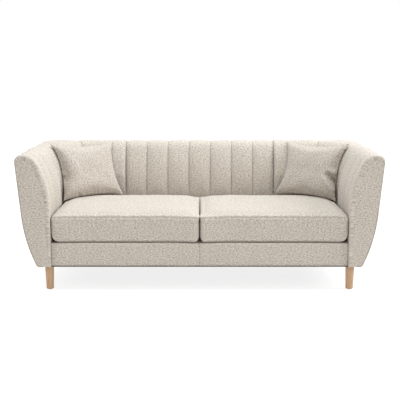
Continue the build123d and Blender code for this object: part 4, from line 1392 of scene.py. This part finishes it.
def place_pillow(piece, side, sign, seat):
    """Leans the cushion back into the corner and stands it on the seat."""
    low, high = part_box(f"scatter_cushion_cover_{side}")
    centre = np.array([abs(low.x + high.x) / 2, (low.y + high.y) / 2, (low.z + high.z) / 2])
    turn, lean = PILLOW_TURN, PILLOW_LEAN
    along = np.array([-math.cos(turn), math.sin(turn), 0])
    behind = np.array([math.sin(turn), math.cos(turn), 0])
    up = behind * math.sin(lean) + np.array([0, 0, math.cos(lean)])
    front = -behind * math.cos(lean) + np.array([0, 0, math.sin(lean)])
    place = coordinates(piece.data)
    centre += PILLOW_SHIFT
    middle = centre + place[:, :1] * along + place[:, 1:2] * up
    world = press_into_corner(middle, 0.010) + place[:, 2:] * front
    world = press_into_corner(world, clearance=PADDING_CLEARANCE, step=STEP_CLEARANCE)
    world = rest_on_seat(world, seat, sign)
    world[:, 0] *= sign
    set_coordinates(piece.data, world)
    tidy_normals(piece.data)
    piece.data.shade_smooth()


for index, (side, sign) in enumerate(SIDES.items()):
    piece = pillow(f"scatter_cushion_{side}", 80 + 10 * index)
    fold_pillow(piece, PILLOW_FOLDS[side])
    pull_corners(piece, PILLOW_PULLS[side])
    place_pillow(piece, side, sign, seat_right if side == "right" else seat_left)
    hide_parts(f"scatter_cushion_cover_{side}", f"scatter_cushion_filling_{side}")
    dress(piece, SHADED_SCATTER_CLOTH, f"scatter_{side}")


# ---------------------------------------------------------------- CAD nodes keep their shapes

for node_name, node in NODES.items():
    if node.hide_render:
        continue
    finish = CAD_FINISH.get(SLOT_OF.get(node_name), TIMBER)
    node.data.materials.clear()
    node.data.materials.append(finish)
    if finish in (ZIP_TAPE, LINING, UPHOLSTERY):
        points = coordinates(node.data)
        set_attribute(node.data, "cloth", points)
        set_attribute(node.data, "seam", np.full(len(points), 0.05))


# ---------------------------------------------------------------- camera, light and floor

VIEW_DISTANCE = 4.4609
VIEW_HEIGHT = 1.4032
VIEW_TILT = math.radians(10.872)
VIEW_SIDE = 0.0017
SENSOR = 36.0
FOCAL_WIDTHS = 1.985  # focal length, in widths of the picture

camera_data = bpy.data.cameras.new("camera")
camera_data.sensor_width = SENSOR
camera_data.lens = SENSOR * FOCAL_WIDTHS
camera_data.clip_end = 60
camera = bpy.data.objects.new("camera", camera_data)
bpy.context.scene.collection.objects.link(camera)
camera.location = (VIEW_SIDE, FRONT_Y - VIEW_DISTANCE, VIEW_HEIGHT)
camera.rotation_euler = (math.pi / 2 - VIEW_TILT, 0, 0)
bpy.context.scene.camera = camera


def area_light(name, place, target, size, energy, colour=(1, 1, 1)):
    """A soft rectangular lamp aimed at a point."""
    data = bpy.data.lights.new(name, "AREA")
    data.shape = "RECTANGLE"
    data.size, data.size_y = size
    data.energy = energy
    data.color = colour
    lamp = bpy.data.objects.new(name, data)
    lamp.location = place
    lamp.rotation_euler = (Vector(target) - Vector(place)).to_track_quat("-Z", "Y").to_euler()
    bpy.context.scene.collection.objects.link(lamp)


area_light("key", (7.0, 0.0, 5.0), (-0.4, 0.0, 0.4), (4.0, 4.0), 445)
area_light("top", (0.0, 0.0, 4.2), (0.0, 0.0, 0.3), (5.0, 3.0), 142, (0.87, 0.95, 1.0))

world = bpy.data.worlds.new("studio")
world.use_nodes = True
background = world.node_tree.nodes["Background"]
background.inputs["Color"].default_value = (1, 1, 1, 1)
# The backdrop shows white, and lights the object a little less than it shows.
rays = world.node_tree.nodes.new("ShaderNodeLightPath")
strength = world.node_tree.nodes.new("ShaderNodeMapRange")
strength.inputs["To Min"].default_value = 0.87
strength.inputs["To Max"].default_value = 1.0
world.node_tree.links.new(rays.outputs["Is Camera Ray"], strength.inputs["Value"])
world.node_tree.links.new(strength.outputs["Result"], background.inputs["Strength"])
bpy.context.scene.world = world
bpy.context.scene.view_settings.view_transform = "Standard"
bpy.context.scene.view_settings.look = "None"

FLOOR_REACH = 30
floor_mesh = bpy.data.meshes.new("floor")
floor_corners = [(x * FLOOR_REACH, y * FLOOR_REACH, 0) for x, y in ((-1, -1), (1, -1), (1, 1), (-1, 1))]
floor_mesh.from_pydata(floor_corners, [], [[0, 1, 2, 3]])
floor = new_object("floor", floor_mesh)
floor_look = Nodes("floor")
floor_place = floor_look.add("TexCoord").outputs["Object"]
floor_cloud = floor_look.noise(floor_place, 1.5)
floor_mesh.materials.append(floor_look.finish(
    floor_look.ramp(floor_cloud, [(0.3, 0.29), (0.7, 0.31)]), 0.8,
    Emission_Color=(1, 1, 1, 1), Emission_Strength=0.80,
))
